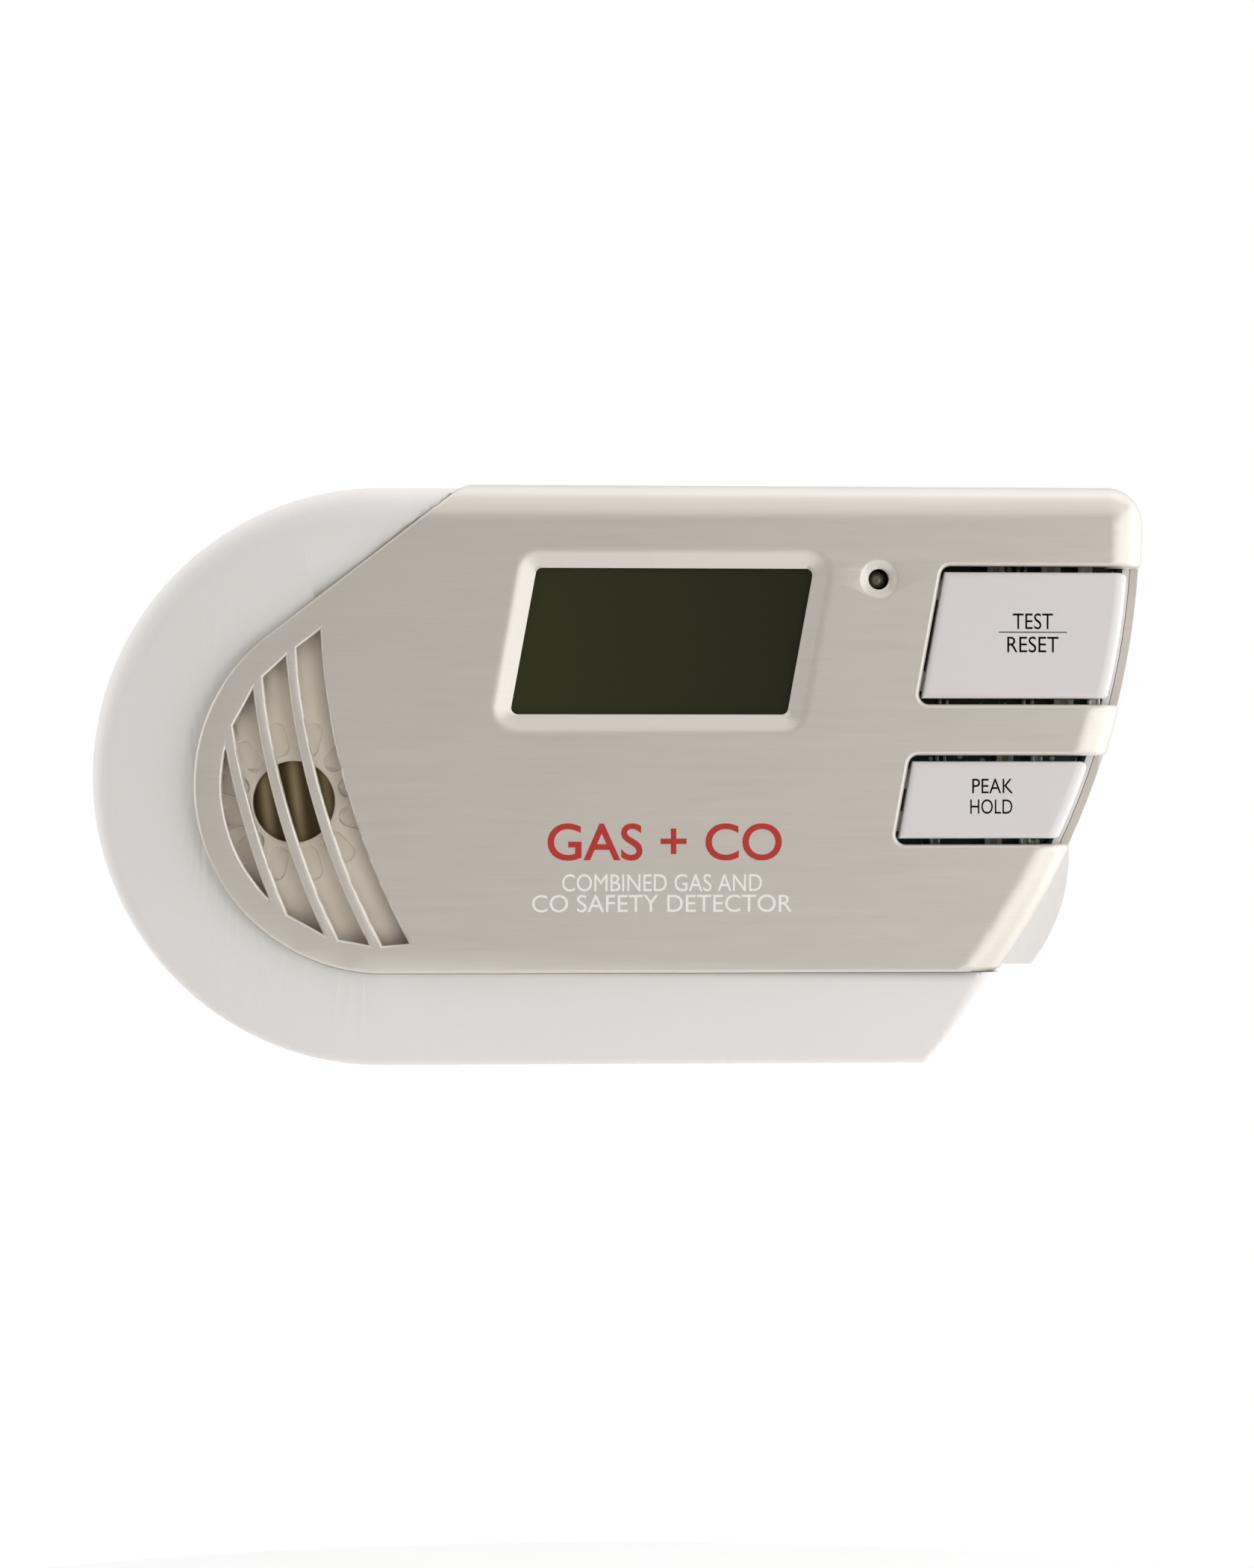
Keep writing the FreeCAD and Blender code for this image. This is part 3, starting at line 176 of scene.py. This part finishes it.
def pearlSilver():
    # Pearl lacquer with a fine level grain, lighter in broad random clouds.
    make = Finish("pearlSilver", metallic=0.42, coatWeight=0.6, coatRoughness=0.25)
    fine = make.noise((110, 110, 7500), 1.0, 3.0, 0.65)
    broad = make.noise((16, 16, 1100), 1.0, 2.0)
    cloud = make.noise((1, 1, 1), 16.0, 2.0)
    grain = (fine * 0.82 + broad * 0.18).clamped()
    shade = make.blend(grain, tint(193, 185, 176), tint(215, 208, 200))
    make.set(baseColor=make.blend(cloud * 0.35, shade, tint(224, 218, 210)))
    make.set(roughness=0.3 + grain * 0.22, normal=make.bump(grain, 0.22, 0.00004))
    return make.material


def mouldedPlastic(title, light, dark, roughness, grainSize, depth):
    # Spark-textured moulding with faint flow marks.
    make = Finish(title, specularIorLevel=0.42)
    spark = make.noise((1, 1, 1), 1 / grainSize, 2.0, 0.7)
    flow = make.noise((1, 1, 1), 22.0, 3.0)
    make.set(baseColor=make.blend((flow * 0.7 + spark * 0.3).clamped(), dark, light))
    make.set(roughness=roughness + (spark - 0.5) * 0.16, normal=make.bump(spark, 0.35, depth))
    return make.material


def whiteShell():
    return mouldedPlastic("whiteShell", tint(226, 223, 221), tint(220, 217, 214), 0.44, 0.0007, 0.00006)


def whiteCap():
    return mouldedPlastic("whiteCap", tint(216, 211, 210), tint(210, 205, 204), 0.36, 0.0011, 0.00002)


def naturalPlastic():
    make = Finish("naturalPlastic", subsurfaceWeight=0.25, subsurfaceRadius=(0.004, 0.003, 0.002),
                  subsurfaceScale=0.5)
    flow = make.noise((1, 1, 1), 180.0, 3.0)
    make.set(baseColor=make.blend(flow, tint(222, 210, 194), tint(238, 230, 219)))
    make.set(roughness=0.42 + flow * 0.15, normal=make.bump(flow, 0.15, 0.0001))
    return make.material


def darkPlastic():
    return mouldedPlastic("darkPlastic", tint(44, 44, 45), tint(32, 32, 34), 0.5, 0.0008, 0.00003)


def displayGlass():
    # Dark olive panel under clear glass, with painted shade that darkens it from left to right.
    make = Finish("displayGlass", coatWeight=0.7, coatRoughness=0.015, specularIorLevel=0.2, roughness=0.14)
    haze = make.noise((1, 1, 1), 34.0, 2.0)
    fine = make.noise((1, 1, 1), 900.0, 2.0)
    x, y, z = make.axes()
    low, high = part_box("display_glass")
    # Painted shade: the panel runs from a lighter olive at its left edge to a darker one at its right.
    across = ((x - low.x) / (high.x - low.x)).clamped()
    shade = make.blend(across, tint(46, 47, 22), tint(24, 22, 3))
    shade = make.blend(haze * 0.4, shade, tint(42, 38, 12))
    make.set(baseColor=make.blend(fine * 0.12, shade, tint(52, 53, 32)))
    return make.material


def smokeLens():
    make = Finish("smokeLens", transmissionWeight=0.25, roughness=0.12, coatWeight=0.8)
    cloud = make.noise((1, 1, 1), 700.0, 2.0)
    make.set(baseColor=make.blend(cloud, tint(122, 117, 101), tint(150, 143, 126)))
    return make.material


def circuitBoard():
    # Solder mask with level tracks, upright tracks and tinned pads.
    make = Finish("circuitBoard", coatWeight=0.5, coatRoughness=0.2)
    x, y, z = make.axes()
    levelPerMetre, uprightPerMetre, levelHalf, uprightHalf = 620, 410, 0.12, 0.09
    wander = make.noise((1, 1, 1), 190.0, 1.0)
    level = (((z + wander * 0.0016) * levelPerMetre).fraction() - 0.5).apart() < levelHalf
    upright = (((x + wander * 0.0022) * uprightPerMetre).fraction() - 0.5).apart() < uprightHalf
    patch = make.noise((1, 1, 1), 150.0, 0.0) > 0.53
    track = (level * patch + upright * (1 - patch)).clamped()
    cells = make.node("ShaderNodeTexVoronoi", {"feature": "F1"}, {"Vector": make.place(), "Scale": 420.0})
    pad = cells < 0.17
    mask = make.blend(track, tint(22, 50, 34), tint(36, 78, 52))
    make.set(baseColor=make.blend(pad, mask, tint(186, 184, 172)))
    make.set(metallic=pad * 0.9, roughness=0.34 - pad * 0.1, normal=make.bump(track + pad, 0.5, 0.00005))
    return make.material


def platedMetal(title, light, dark, roughness, stretch=(1, 1, 1)):
    make = Finish(title, metallic=1.0)
    scratch = make.noise(stretch, 900.0, 3.0, 0.65)
    dull = make.noise((1, 1, 1), 120.0, 2.0)
    make.set(baseColor=make.blend((scratch * 0.5 + dull * 0.5).clamped(), dark, light))
    make.set(roughness=roughness + scratch * 0.18, normal=make.bump(scratch, 0.12, 0.00003))
    return make.material


def rolledBrass(centre):
    # Thin brass sheet with painted light and shade: bright leaning bands stand for light falling through the
    # vent slots, and painted shade darkens it towards its rim.
    make = Finish("rolledBrass", metallic=0.7)
    x, y, z = make.axes()
    # Pitch, lean and start of the painted light bands, and how fast the painted rim shade grows.
    lightBandPitch, lightBandLean, lightBandStart, rimShadePerMetre = 0.0046, 0.12, 1.2, 75
    turns = 2 * math.pi / lightBandPitch
    # Painted light: leaning bright bands where light falls through the vent slots onto the disc.
    paintedLightBands = ((x - centre.x + (z - centre.z) * lightBandLean) * turns + lightBandStart).wave() * 0.5 + 0.5
    # Painted shade: grows with distance from the disc's middle, darkest at its rim.
    paintedRimShade = ((x - centre.x) * (x - centre.x) + (z - centre.z) * (z - centre.z)).power(0.5) * rimShadePerMetre
    scratch = make.noise((40, 40, 2600), 1.0, 3.0)
    # The pale brass in these bands is painted light.
    shade = make.blend(paintedLightBands.power(3.0), tint(116, 95, 64), tint(240, 218, 172))
    shade = make.blend(scratch * 0.3, shade, tint(150, 128, 92))
    # Blends the brass toward dark brown by the painted rim shade.
    make.set(baseColor=make.blend(paintedRimShade.clamped() * 0.5, shade, tint(104, 84, 58)))
    make.set(roughness=0.16 + scratch * 0.12)
    return make.material


def woundCopper():
    make = Finish("woundCopper", metallic=0.75, coatWeight=0.4)
    x, y, z = make.axes()
    turnRate = 9000          # radians of ripple in each metre
    turns = (z * turnRate).wave() * 0.5 + 0.5
    make.set(baseColor=make.blend(turns, tint(104, 50, 22), tint(196, 112, 58)))
    make.set(roughness=0.4 - turns * 0.12, normal=make.bump(turns, 0.6, 0.00015))
    return make.material


def stackedSteel():
    make = Finish("stackedSteel", metallic=0.8)
    x, y, z = make.axes()
    sheetRate = 12500        # radians of ripple in each metre
    sheets = (y * sheetRate).wave() * 0.5 + 0.5
    rust = make.noise((1, 1, 1), 240.0, 3.0)
    shade = make.blend(sheets, tint(66, 66, 70), tint(128, 128, 132))
    make.set(baseColor=make.blend(rust * 0.35, shade, tint(104, 82, 62)))
    make.set(roughness=0.42 + rust * 0.2, normal=make.bump(sheets, 0.5, 0.0001))
    return make.material


def sleevedCan(title, sleeve, stripe):
    # Printed sleeve with a paler stripe down one side.
    make = Finish(title, coatWeight=0.6, coatRoughness=0.15)
    x, y, z = make.axes()
    band = ((x * 260).fraction() - 0.5).apart() < 0.1
    worn = make.noise((1, 1, 1), 300.0, 2.0)
    shade = make.blend(band, sleeve, stripe)
    make.set(baseColor=make.blend(worn * 0.25, shade, stripe), roughness=0.32 + worn * 0.12)
    return make.material


def glassTube():
    make = Finish("glassTube", transmissionWeight=0.7, roughness=0.05)
    streak = make.noise((300, 40, 40), 1.0, 2.0)
    make.set(baseColor=make.blend(streak, tint(210, 220, 214), tint(236, 240, 238)))
    return make.material


def blankLabel():
    make = Finish("blankLabel", coatWeight=0.2)
    x, y, z = make.axes()
    fibre = make.noise((1, 1, 1), 600.0, 3.0)
    low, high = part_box("rating_label")
    middle, half = (low + high) / 2, (high - low) / 2
    ruleInner, ruleOuter = 0.88, 0.9
    reach = x.sum("MAXIMUM", ((x - middle.x) / half.x).apart(), ((z - middle.z) / half.z).apart())
    border = (reach > ruleInner) * (reach < ruleOuter)
    make.set(baseColor=make.blend(border, make.blend(fibre, tint(206, 207, 206), tint(218, 219, 218)),
                                  tint(120, 122, 124)))
    make.set(roughness=0.38 + fibre * 0.1)
    return make.material


def batteryJacket():
    # Jacket split across its length into a dark end and a copper-coloured one.
    make = Finish("batteryJacket", metallic=0.55, coatWeight=0.7, coatRoughness=0.1)
    x, y, z = make.axes()
    low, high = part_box("battery")
    darkShare = 0.32
    split = low.x + (high.x - low.x) * darkShare
    fine = make.noise((1, 1, 1), 260.0, 2.0)
    dark = make.blend(fine, tint(30, 31, 34), tint(42, 43, 47))
    make.set(baseColor=make.blend(x < split, dark, tint(196, 126, 62)), roughness=0.3 + fine * 0.1)
    return make.material


def inkFinish(title, colour):
    make = Finish(title, specularIorLevel=0.3)
    wear = make.noise((1, 1, 1), 1500.0, 2.0)
    pale = tuple(min(1.0, value * 1.12 + 0.01) for value in colour)
    make.set(baseColor=make.blend(wear, colour, pale), roughness=0.5 + wear * 0.1)
    return make.material


finishes = {
    "silver": pearlSilver(),
    "white": whiteShell(),
    "cap": whiteCap(),
    "natural": naturalPlastic(),
    "dark": darkPlastic(),
    "glass": displayGlass(),
    "lens": smokeLens(),
    "board": circuitBoard(),
    "steel": platedMetal("platedSteel", tint(206, 205, 200), tint(160, 159, 156), 0.26),
    "blade": platedMetal("platedBlade", tint(214, 206, 186), tint(176, 168, 148), 0.2, (1, 6, 1)),
    "pin": platedMetal("goldPin", tint(226, 190, 112), tint(180, 144, 76), 0.22),
    "brass": rolledBrass((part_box("sounder_disc")[0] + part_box("sounder_disc")[1]) / 2),
    "copper": woundCopper(),
    "core": stackedSteel(),
    "can": sleevedCan("sleevedCan", tint(32, 38, 64), tint(188, 190, 196)),
    "tube": glassTube(),
    "epoxy": mouldedPlastic("blueEpoxy", tint(38, 84, 160), tint(26, 62, 126), 0.25, 0.002, 0.00005),
    "rubber": mouldedPlastic("greyRubber", tint(84, 84, 86), tint(70, 70, 72), 0.7, 0.0006, 0.00004),
    "cell": mouldedPlastic("cellBody", tint(222, 220, 210), tint(206, 203, 192), 0.4, 0.001, 0.00002),
    "plunger": mouldedPlastic("plungerRed", tint(176, 66, 48), tint(150, 50, 38), 0.4, 0.0012, 0.00002),
    "ceramic": mouldedPlastic("silveredCeramic", tint(222, 218, 208), tint(198, 192, 180),
                              0.3, 0.0009, 0.00002),
    "lead": mouldedPlastic("redLead", tint(190, 36, 28), tint(160, 26, 20), 0.45, 0.0015, 0.00002),
    "guide": mouldedPlastic("lightGuide", tint(226, 230, 218), tint(210, 214, 202), 0.2, 0.002, 0.00001),
    "label": blankLabel(),
    "jacket": batteryJacket(),
    "tan": mouldedPlastic("tanCeramic", tint(206, 190, 168), tint(184, 166, 142), 0.4, 0.0006, 0.00002),
    "redInk": inkFinish("redInk", tint(168, 44, 38)),
    "paleInk": inkFinish("paleInk", tint(226, 222, 216)),
    "greyInk": inkFinish("greyInk", tint(168, 165, 162)),
}
print("finishes made:", len(finishes))

nodeFinish = {
    "front_cover": "silver", "rear_housing": "white", "front_housing": "white", "battery_drawer": "white",
    "test_button": "cap", "peak_button": "cap", "rating_label": "label", "test_switch": "dark",
    "peak_switch": "dark", "test_plunger": "plunger", "peak_plunger": "plunger", "display_glass": "glass",
    "display_backlight": "guide", "contact_strips": "rubber", "display_frame": "dark",
    "status_light": "lens", "main_board": "board", "microcontroller": "dark",
    "carbon_monoxide_cell": "cell", "gas_sensor_can": "steel", "gas_sensor_screen": "steel",
    "horn_coil": "copper", "board_capacitors": "can", "power_board": "board",
    "transformer_core": "core", "transformer_winding": "copper", "mains_fuse": "tube",
    "surge_absorber": "epoxy", "filter_capacitors": "can", "board_header": "pin",
    "horn_housing": "natural", "horn_back": "natural", "sounder_disc": "brass",
    "sounder_ceramic": "ceramic", "horn_leads": "lead", "battery": "jacket",
    "battery_terminals": "steel", "battery_contacts": "steel", "contact_holder": "dark",
    "plug_blade_line": "blade", "plug_blade_neutral": "blade", "plug_carrier": "dark",
    "case_screws": "steel", "board_screws": "steel",
}


def alone(piece):
    # Makes one object the only one selected.
    bpy.ops.object.select_all(action="DESELECT")
    piece.select_set(True)
    bpy.context.view_layer.objects.active = piece


def settle(piece):
    # Moves an object's place, turn and size into its mesh.
    alone(piece)
    bpy.ops.object.transform_apply(location=True, rotation=True, scale=True)


def dress(piece, finish):
    piece.data.materials.clear()
    piece.data.materials.append(finishes[finish])


faceWeight = 60          # how far broad faces rule the shading at a round
weldReach = 0.000002     # corners closer than this are one point


def smooth(piece, degrees):
    alone(piece)
    bpy.ops.object.shade_smooth_by_angle(angle=math.radians(degrees))
    weights = piece.modifiers.new("weights", "WEIGHTED_NORMAL")
    weights.keep_sharp = True
    weights.weight = faceWeight
    bpy.ops.object.modifier_apply(modifier=weights.name)


def bodyOf(node):
    return next(body for body, members in frame["record"]["behaviour"]["bodies"].items() if node in members)


def polished(node, title, degrees=25):
    # A welded, smoothly shaded copy of a node's own mesh, which stands for the node.
    source = frame["nodes"][node]
    piece = bpy.data.objects.new(title, source.data.copy())
    bpy.context.scene.collection.objects.link(piece)
    alone(piece)
    bpy.ops.object.mode_set(mode="EDIT")
    bpy.ops.mesh.select_all(action="SELECT")
    bpy.ops.mesh.remove_doubles(threshold=weldReach)
    bpy.ops.object.mode_set(mode="OBJECT")
    smooth(piece, degrees)
    dress(piece, nodeFinish[node])
    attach(piece, bodyOf(node))
    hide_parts(node)
    return piece


printSkin = 0.00001      # half the thickness of printed ink


def printed(title, rows, depth, finish, body, bold=0.0):
    # Thin printed words, each row centred at x and z with a letter height and a width.
    made = []
    for words, x, z, height, width in rows:
        bpy.ops.object.select_all(action="DESELECT")
        bpy.ops.object.text_add(location=(0, 0, 0))
        text = bpy.context.object
        text.data.body = words
        text.data.align_x = "CENTER"
        text.data.align_y = "CENTER"
        text.data.extrude = 0.5
        text.data.offset = bold
        text.data.resolution_u = 6
        bpy.ops.object.convert(target="MESH")
        size = text.dimensions.copy()
        text.scale = (width / size.x, height / size.y, 2 * printSkin / size.z)
        text.rotation_euler = (math.radians(90), 0, 0)
        settle(text)
        corners = [vertex.co for vertex in text.data.vertices]
        low = Vector([min(c[i] for c in corners) for i in range(3)])
        high = Vector([max(c[i] for c in corners) for i in range(3)])
        middle = (low + high) / 2
        text.location = (x - middle.x, -depth - middle.y, z - middle.z)
        settle(text)
        made.append(text)
    return finishPrint(made, title, finish, body)


def finishPrint(made, title, finish, body):
    alone(made[0])
    for piece in made:
        piece.select_set(True)
    bpy.ops.object.join()
    piece = bpy.context.object
    piece.name = title
    alone(piece)
    bpy.ops.object.mode_set(mode="EDIT")
    bpy.ops.mesh.select_all(action="SELECT")
    bpy.ops.mesh.remove_doubles(threshold=printSkin / 20)
    bpy.ops.object.mode_set(mode="OBJECT")
    dress(piece, finish)
    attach(piece, body)
    return piece


def bar(x, depth, z, width, height):
    # A thin ruled line with eased edges.
    bpy.ops.object.select_all(action="DESELECT")
    bpy.ops.mesh.primitive_cube_add(size=1, location=(x, -depth, z), scale=(width, 2 * printSkin, height))
    piece = bpy.context.object
    settle(piece)
    alone(piece)
    bpy.ops.object.mode_set(mode="EDIT")
    bpy.ops.mesh.select_all(action="SELECT")
    bpy.ops.mesh.bevel(offset=printSkin / 3, segments=1)
    bpy.ops.object.mode_set(mode="OBJECT")
    return piece


def pick(piece, test):
    # In edit mode, selects only the faces whose middle and normal pass the test.
    bpy.ops.mesh.select_mode(type="FACE")
    bpy.ops.mesh.select_all(action="DESELECT")
    bpy.ops.object.mode_set(mode="OBJECT")
    for face in piece.data.polygons:
        face.select = test(face.center, face.normal)
    bpy.ops.object.mode_set(mode="EDIT")


smoothNodes = {
    "front_cover": "frontCover", "front_housing": "frontHousing", "rear_housing": "rearHousing",
    "battery_drawer": "batteryDrawer", "test_button": "testCap", "peak_button": "peakCap",
    "horn_housing": "hornHousing", "plug_blade_line": "plugBladeLine",
    "plug_blade_neutral": "plugBladeNeutral", "battery": "battery", "status_light": "statusLight",
    "battery_terminals": "batteryTerminals", "case_screws": "caseScrews",
}
for node, title in smoothNodes.items():
    polished(node, title)
for node, cad in frame["nodes"].items():
    if node not in smoothNodes:
        dress(cad, nodeFinish[node])
print("shells and caps smoothed:", len(smoothNodes))


prints = {
    # Each row: words, then x and z from the piece's own mark, letter height and width of the row.
    "face": {"finish": "redInk", "bold": 0.012, "rows": [("GAS + CO", 0.0003, -0.0169, 0.0056, 0.0352)]},
    "descriptor": {"finish": "paleInk", "bold": 0.0,
                   "rows": [("COMBINED GAS AND", -0.0001, -0.0230, 0.0026, 0.0300),
                            ("CO SAFETY DETECTOR", -0.0001, -0.0261, 0.0026, 0.0390)]},
    "test": {"finish": "greyInk", "bold": 0.0,
             "rows": [("TEST", 0.0180, 0.0021, 0.0024, 0.0061), ("RESET", 0.0180, -0.0014, 0.0024, 0.0078)]},
    "peak": {"finish": "greyInk", "bold": 0.0,
             "rows": [("PEAK", 0.0154, 0.0021, 0.0022, 0.0062), ("HOLD", 0.0152, -0.0010, 0.0022, 0.0064)]},
    "rule": {"right": 0.0180, "up": 0.00045, "width": 0.0104, "height": 0.00016},
}


def makePrints():
    # Words on the cover are placed from the display, words on a cap from the cap's left side.
    face = -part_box("front_cover")[0].y - printSkin / 2
    low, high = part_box("display_glass")
    for title in ("face", "descriptor"):
        look = prints[title]
        centre = (low.x + high.x) / 2
        rows = [(words, centre + x, low.z + z, *letter) for words, x, z, *letter in look["rows"]]
        printed(title + "Print", rows, face, look["finish"], "casing", look["bold"])
    for title in ("test", "peak"):
        look = prints[title]
        low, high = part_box(title + "_button")
        middle = (low.z + high.z) / 2
        rows = [(words, low.x + x, middle + z, *letter) for words, x, z, *letter in look["rows"]]
        cap = -low.y - printSkin
        piece = printed(title + "Words", rows, cap, look["finish"], title + "_cap", look["bold"])
        if title == "test":
            rule = prints["rule"]
            line = bar(low.x + rule["right"], cap, middle + rule["up"], rule["width"], rule["height"])
            finishPrint([piece, line], "testWords", look["finish"], "test_cap")


makePrints()
print("prints made")


chips = {
    # Along each cap's upper or lower edge: cap, edge, then share of the cap's length, length in
    # millimetres and finish. The tallest stays behind a pressed cap.
    "rows": [("test_button", 1,
              [(0.42, 2.6, "tan"), (0.55, 1.6, "dark"), (0.68, 3.0, "tan"), (0.84, 2.2, "cell")]),
             ("test_button", -1,
              [(0.18, 1.6, "dark"), (0.58, 1.8, "dark"), (0.74, 3.0, "tan"), (0.88, 2.0, "cell")]),
             ("peak_button", 1, [(0.30, 1.6, "dark"), (0.62, 2.6, "tan"), (0.78, 1.8, "cell")]),
             ("peak_button", -1, [(0.26, 1.6, "tan"), (0.56, 2.6, "tan"), (0.72, 1.8, "cell")])],
    "height": {"tan": 0.0030, "cell": 0.0034, "dark": 0.0013},
    "width": 0.0016, "outward": 0.00045, "band": 0.3, "swell": 1.06, "edge": 0.00012, "sharp": 40,
}


def makeChip(x, z, front, length, finish):
    # A surface-mounted part: a body between two tinned ends that stand a little proud of it.
    bpy.ops.object.select_all(action="DESELECT")
    size = (length, chips["height"][finish], chips["width"])
    bpy.ops.mesh.primitive_cube_add(size=1, location=(x, front - size[1] / 2, z), scale=size)
    piece = bpy.context.object
    settle(piece)
    bandAt = length * (0.5 - chips["band"])
    bpy.ops.object.mode_set(mode="EDIT")
    for side in (-1, 1):
        bpy.ops.mesh.select_all(action="SELECT")
        bpy.ops.mesh.bisect(plane_co=(x + side * bandAt, front, z), plane_no=(1, 0, 0))
    pick(piece, lambda centre, normal: abs(centre.x - x) > bandAt and abs(normal.x) < 0.5)
    proud = size[2] * (chips["swell"] - 1)
    bpy.ops.mesh.extrude_region_shrink_fatten(TRANSFORM_OT_shrink_fatten={"value": proud})
    bpy.ops.object.mode_set(mode="OBJECT")
    bevel = piece.modifiers.new("edges", "BEVEL")
    bevel.width, bevel.segments = chips["edge"], 2
    bpy.ops.object.modifier_apply(modifier=bevel.name)
    for look in (finish, "steel"):
        piece.data.materials.append(finishes[look])
    for face in piece.data.polygons:
        face.material_index = 1 if abs(face.center.x - x) > bandAt else 0
    smooth(piece, chips["sharp"])
    return piece


def makeChips():
    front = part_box("main_board")[0].y
    made = []
    for node, side, row in chips["rows"]:
        low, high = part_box(node)
        z = high.z + chips["outward"] if side > 0 else low.z - chips["outward"]
        for share, length, finish in row:
            made.append(makeChip(low.x + share * (high.x - low.x), z, front, length * mm, finish))
    alone(made[0])
    for piece in made:
        piece.select_set(True)
    bpy.ops.object.join()
    piece = bpy.context.object
    piece.name = "boardChips"
    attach(piece, "casing")


makeChips()
print("board chips made")

studio = {"stops": [(0.0, (0.25, 0.24, 0.225)), (0.2, (1.6, 1.6, 1.6)),
                    (0.5, (1.6, 1.6, 1.6)), (0.85, (0.7, 0.7, 0.7))],
          "top": {"spot": (0.10, -0.28, 0.62), "size": (1.2, 0.9), "power": 3.2, "tone": (1, 1, 1)},
          "key": {"spot": (0.70, -0.18, 0.02), "size": (0.9, 0.8), "power": 4.0, "tone": (0.96, 0.985, 1)},
          "card": {"spot": (0.52, -0.72, -0.10), "size": (0.34, 0.8), "power": 1.5, "tone": (1, 1, 1)},
          "under": {"spot": (0.02, -0.22, -0.19), "size": (0.7, 0.26), "power": 0.2, "tone": (1, 1, 1)},
          "left": {"spot": (-0.70, -0.16, 0.10), "size": (0.7, 0.7), "power": 2.0, "tone": (0.98, 0.99, 1)}}
view = {"distance": 0.560, "turn": 3.8, "lens": 86.0, "sensor": 36, "target": (0.0004, -0.0113)}
stage = {"radius": 0.55, "shape": (0.6, 0.6, 1), "level": -0.2}
lampAim = Vector((0, -0.03, -0.01))


def makeStage():
    bpy.ops.object.select_all(action="DESELECT")
    bpy.ops.mesh.primitive_circle_add(vertices=96, radius=stage["radius"], fill_type="NGON",
                                      location=(0, 0, 0))
    floor = bpy.context.object
    floor.name = "floor"
    floor.location = (0, 0, stage["level"])
    floor.scale = stage["shape"]
    settle(floor)
    make = Finish("paleFloor", roughness=0.8)
    speck = make.noise((1, 1, 1), 40.0, 2.0)
    make.set(baseColor=make.blend(speck, tint(240, 240, 240), tint(244, 244, 244)))
    floor.data.materials.append(make.material)


def makeWorld():
    # A dim room in front of the object, bright walls beside and behind it, and a softer far wall.
    world = bpy.data.worlds.new("studio")
    bpy.context.scene.world = world
    world.use_nodes = True
    nodes, links = world.node_tree.nodes, world.node_tree.links
    way = nodes.new("ShaderNodeTexCoord")
    split = nodes.new("ShaderNodeSeparateXYZ")
    ramp = nodes.new("ShaderNodeValToRGB")
    room = nodes["Background"]
    seen = nodes.new("ShaderNodeBackground")
    path = nodes.new("ShaderNodeLightPath")
    mix = nodes.new("ShaderNodeMixShader")
    stops = ramp.color_ramp.elements
    for spot, (place, shade) in enumerate(studio["stops"]):
        stop = stops[spot] if spot < 2 else stops.new(place)
        stop.position = place
        stop.color = (*shade, 1)
    links.new(way.outputs["Generated"], split.inputs[0])
    links.new(split.outputs["Y"], ramp.inputs[0])
    links.new(ramp.outputs[0], room.inputs["Color"])
    seen.inputs["Color"].default_value = (1, 1, 1, 1)
    links.new(path.outputs["Is Camera Ray"], mix.inputs[0])
    links.new(room.outputs[0], mix.inputs[1])
    links.new(seen.outputs[0], mix.inputs[2])
    links.new(mix.outputs[0], nodes["World Output"].inputs["Surface"])


def makeLights():
    for title in ("top", "key", "card", "under", "left"):
        box = studio[title]
        lamp = bpy.data.lights.new(title + "Box", "AREA")
        lamp.shape = "RECTANGLE"
        lamp.size, lamp.size_y = box["size"]
        lamp.energy = box["power"]
        lamp.color = box["tone"]
        piece = bpy.data.objects.new(title + "Box", lamp)
        piece.location = box["spot"]
        piece.rotation_euler = (lampAim - Vector(box["spot"])).to_track_quat("-Z", "Y").to_euler()
        bpy.context.scene.collection.objects.link(piece)


def makeCamera():
    lens = bpy.data.cameras.new("camera")
    lens.lens = view["lens"]
    lens.sensor_width = view["sensor"]
    lens.clip_start = 0.01
    camera = bpy.data.objects.new("camera", lens)
    front = cadBox[0][1]
    target = Vector((view["target"][0], front, view["target"][1]))
    turn = math.radians(view["turn"])
    camera.location = target + view["distance"] * Vector((-math.sin(turn), -math.cos(turn), 0))
    camera.rotation_euler = (target - camera.location).to_track_quat("-Z", "Y").to_euler()
    bpy.context.scene.collection.objects.link(camera)
    bpy.context.scene.camera = camera


makeStage()
makeWorld()
makeLights()
makeCamera()
bpy.context.scene.view_settings.view_transform = "Standard"
print("stage, lights and camera set")
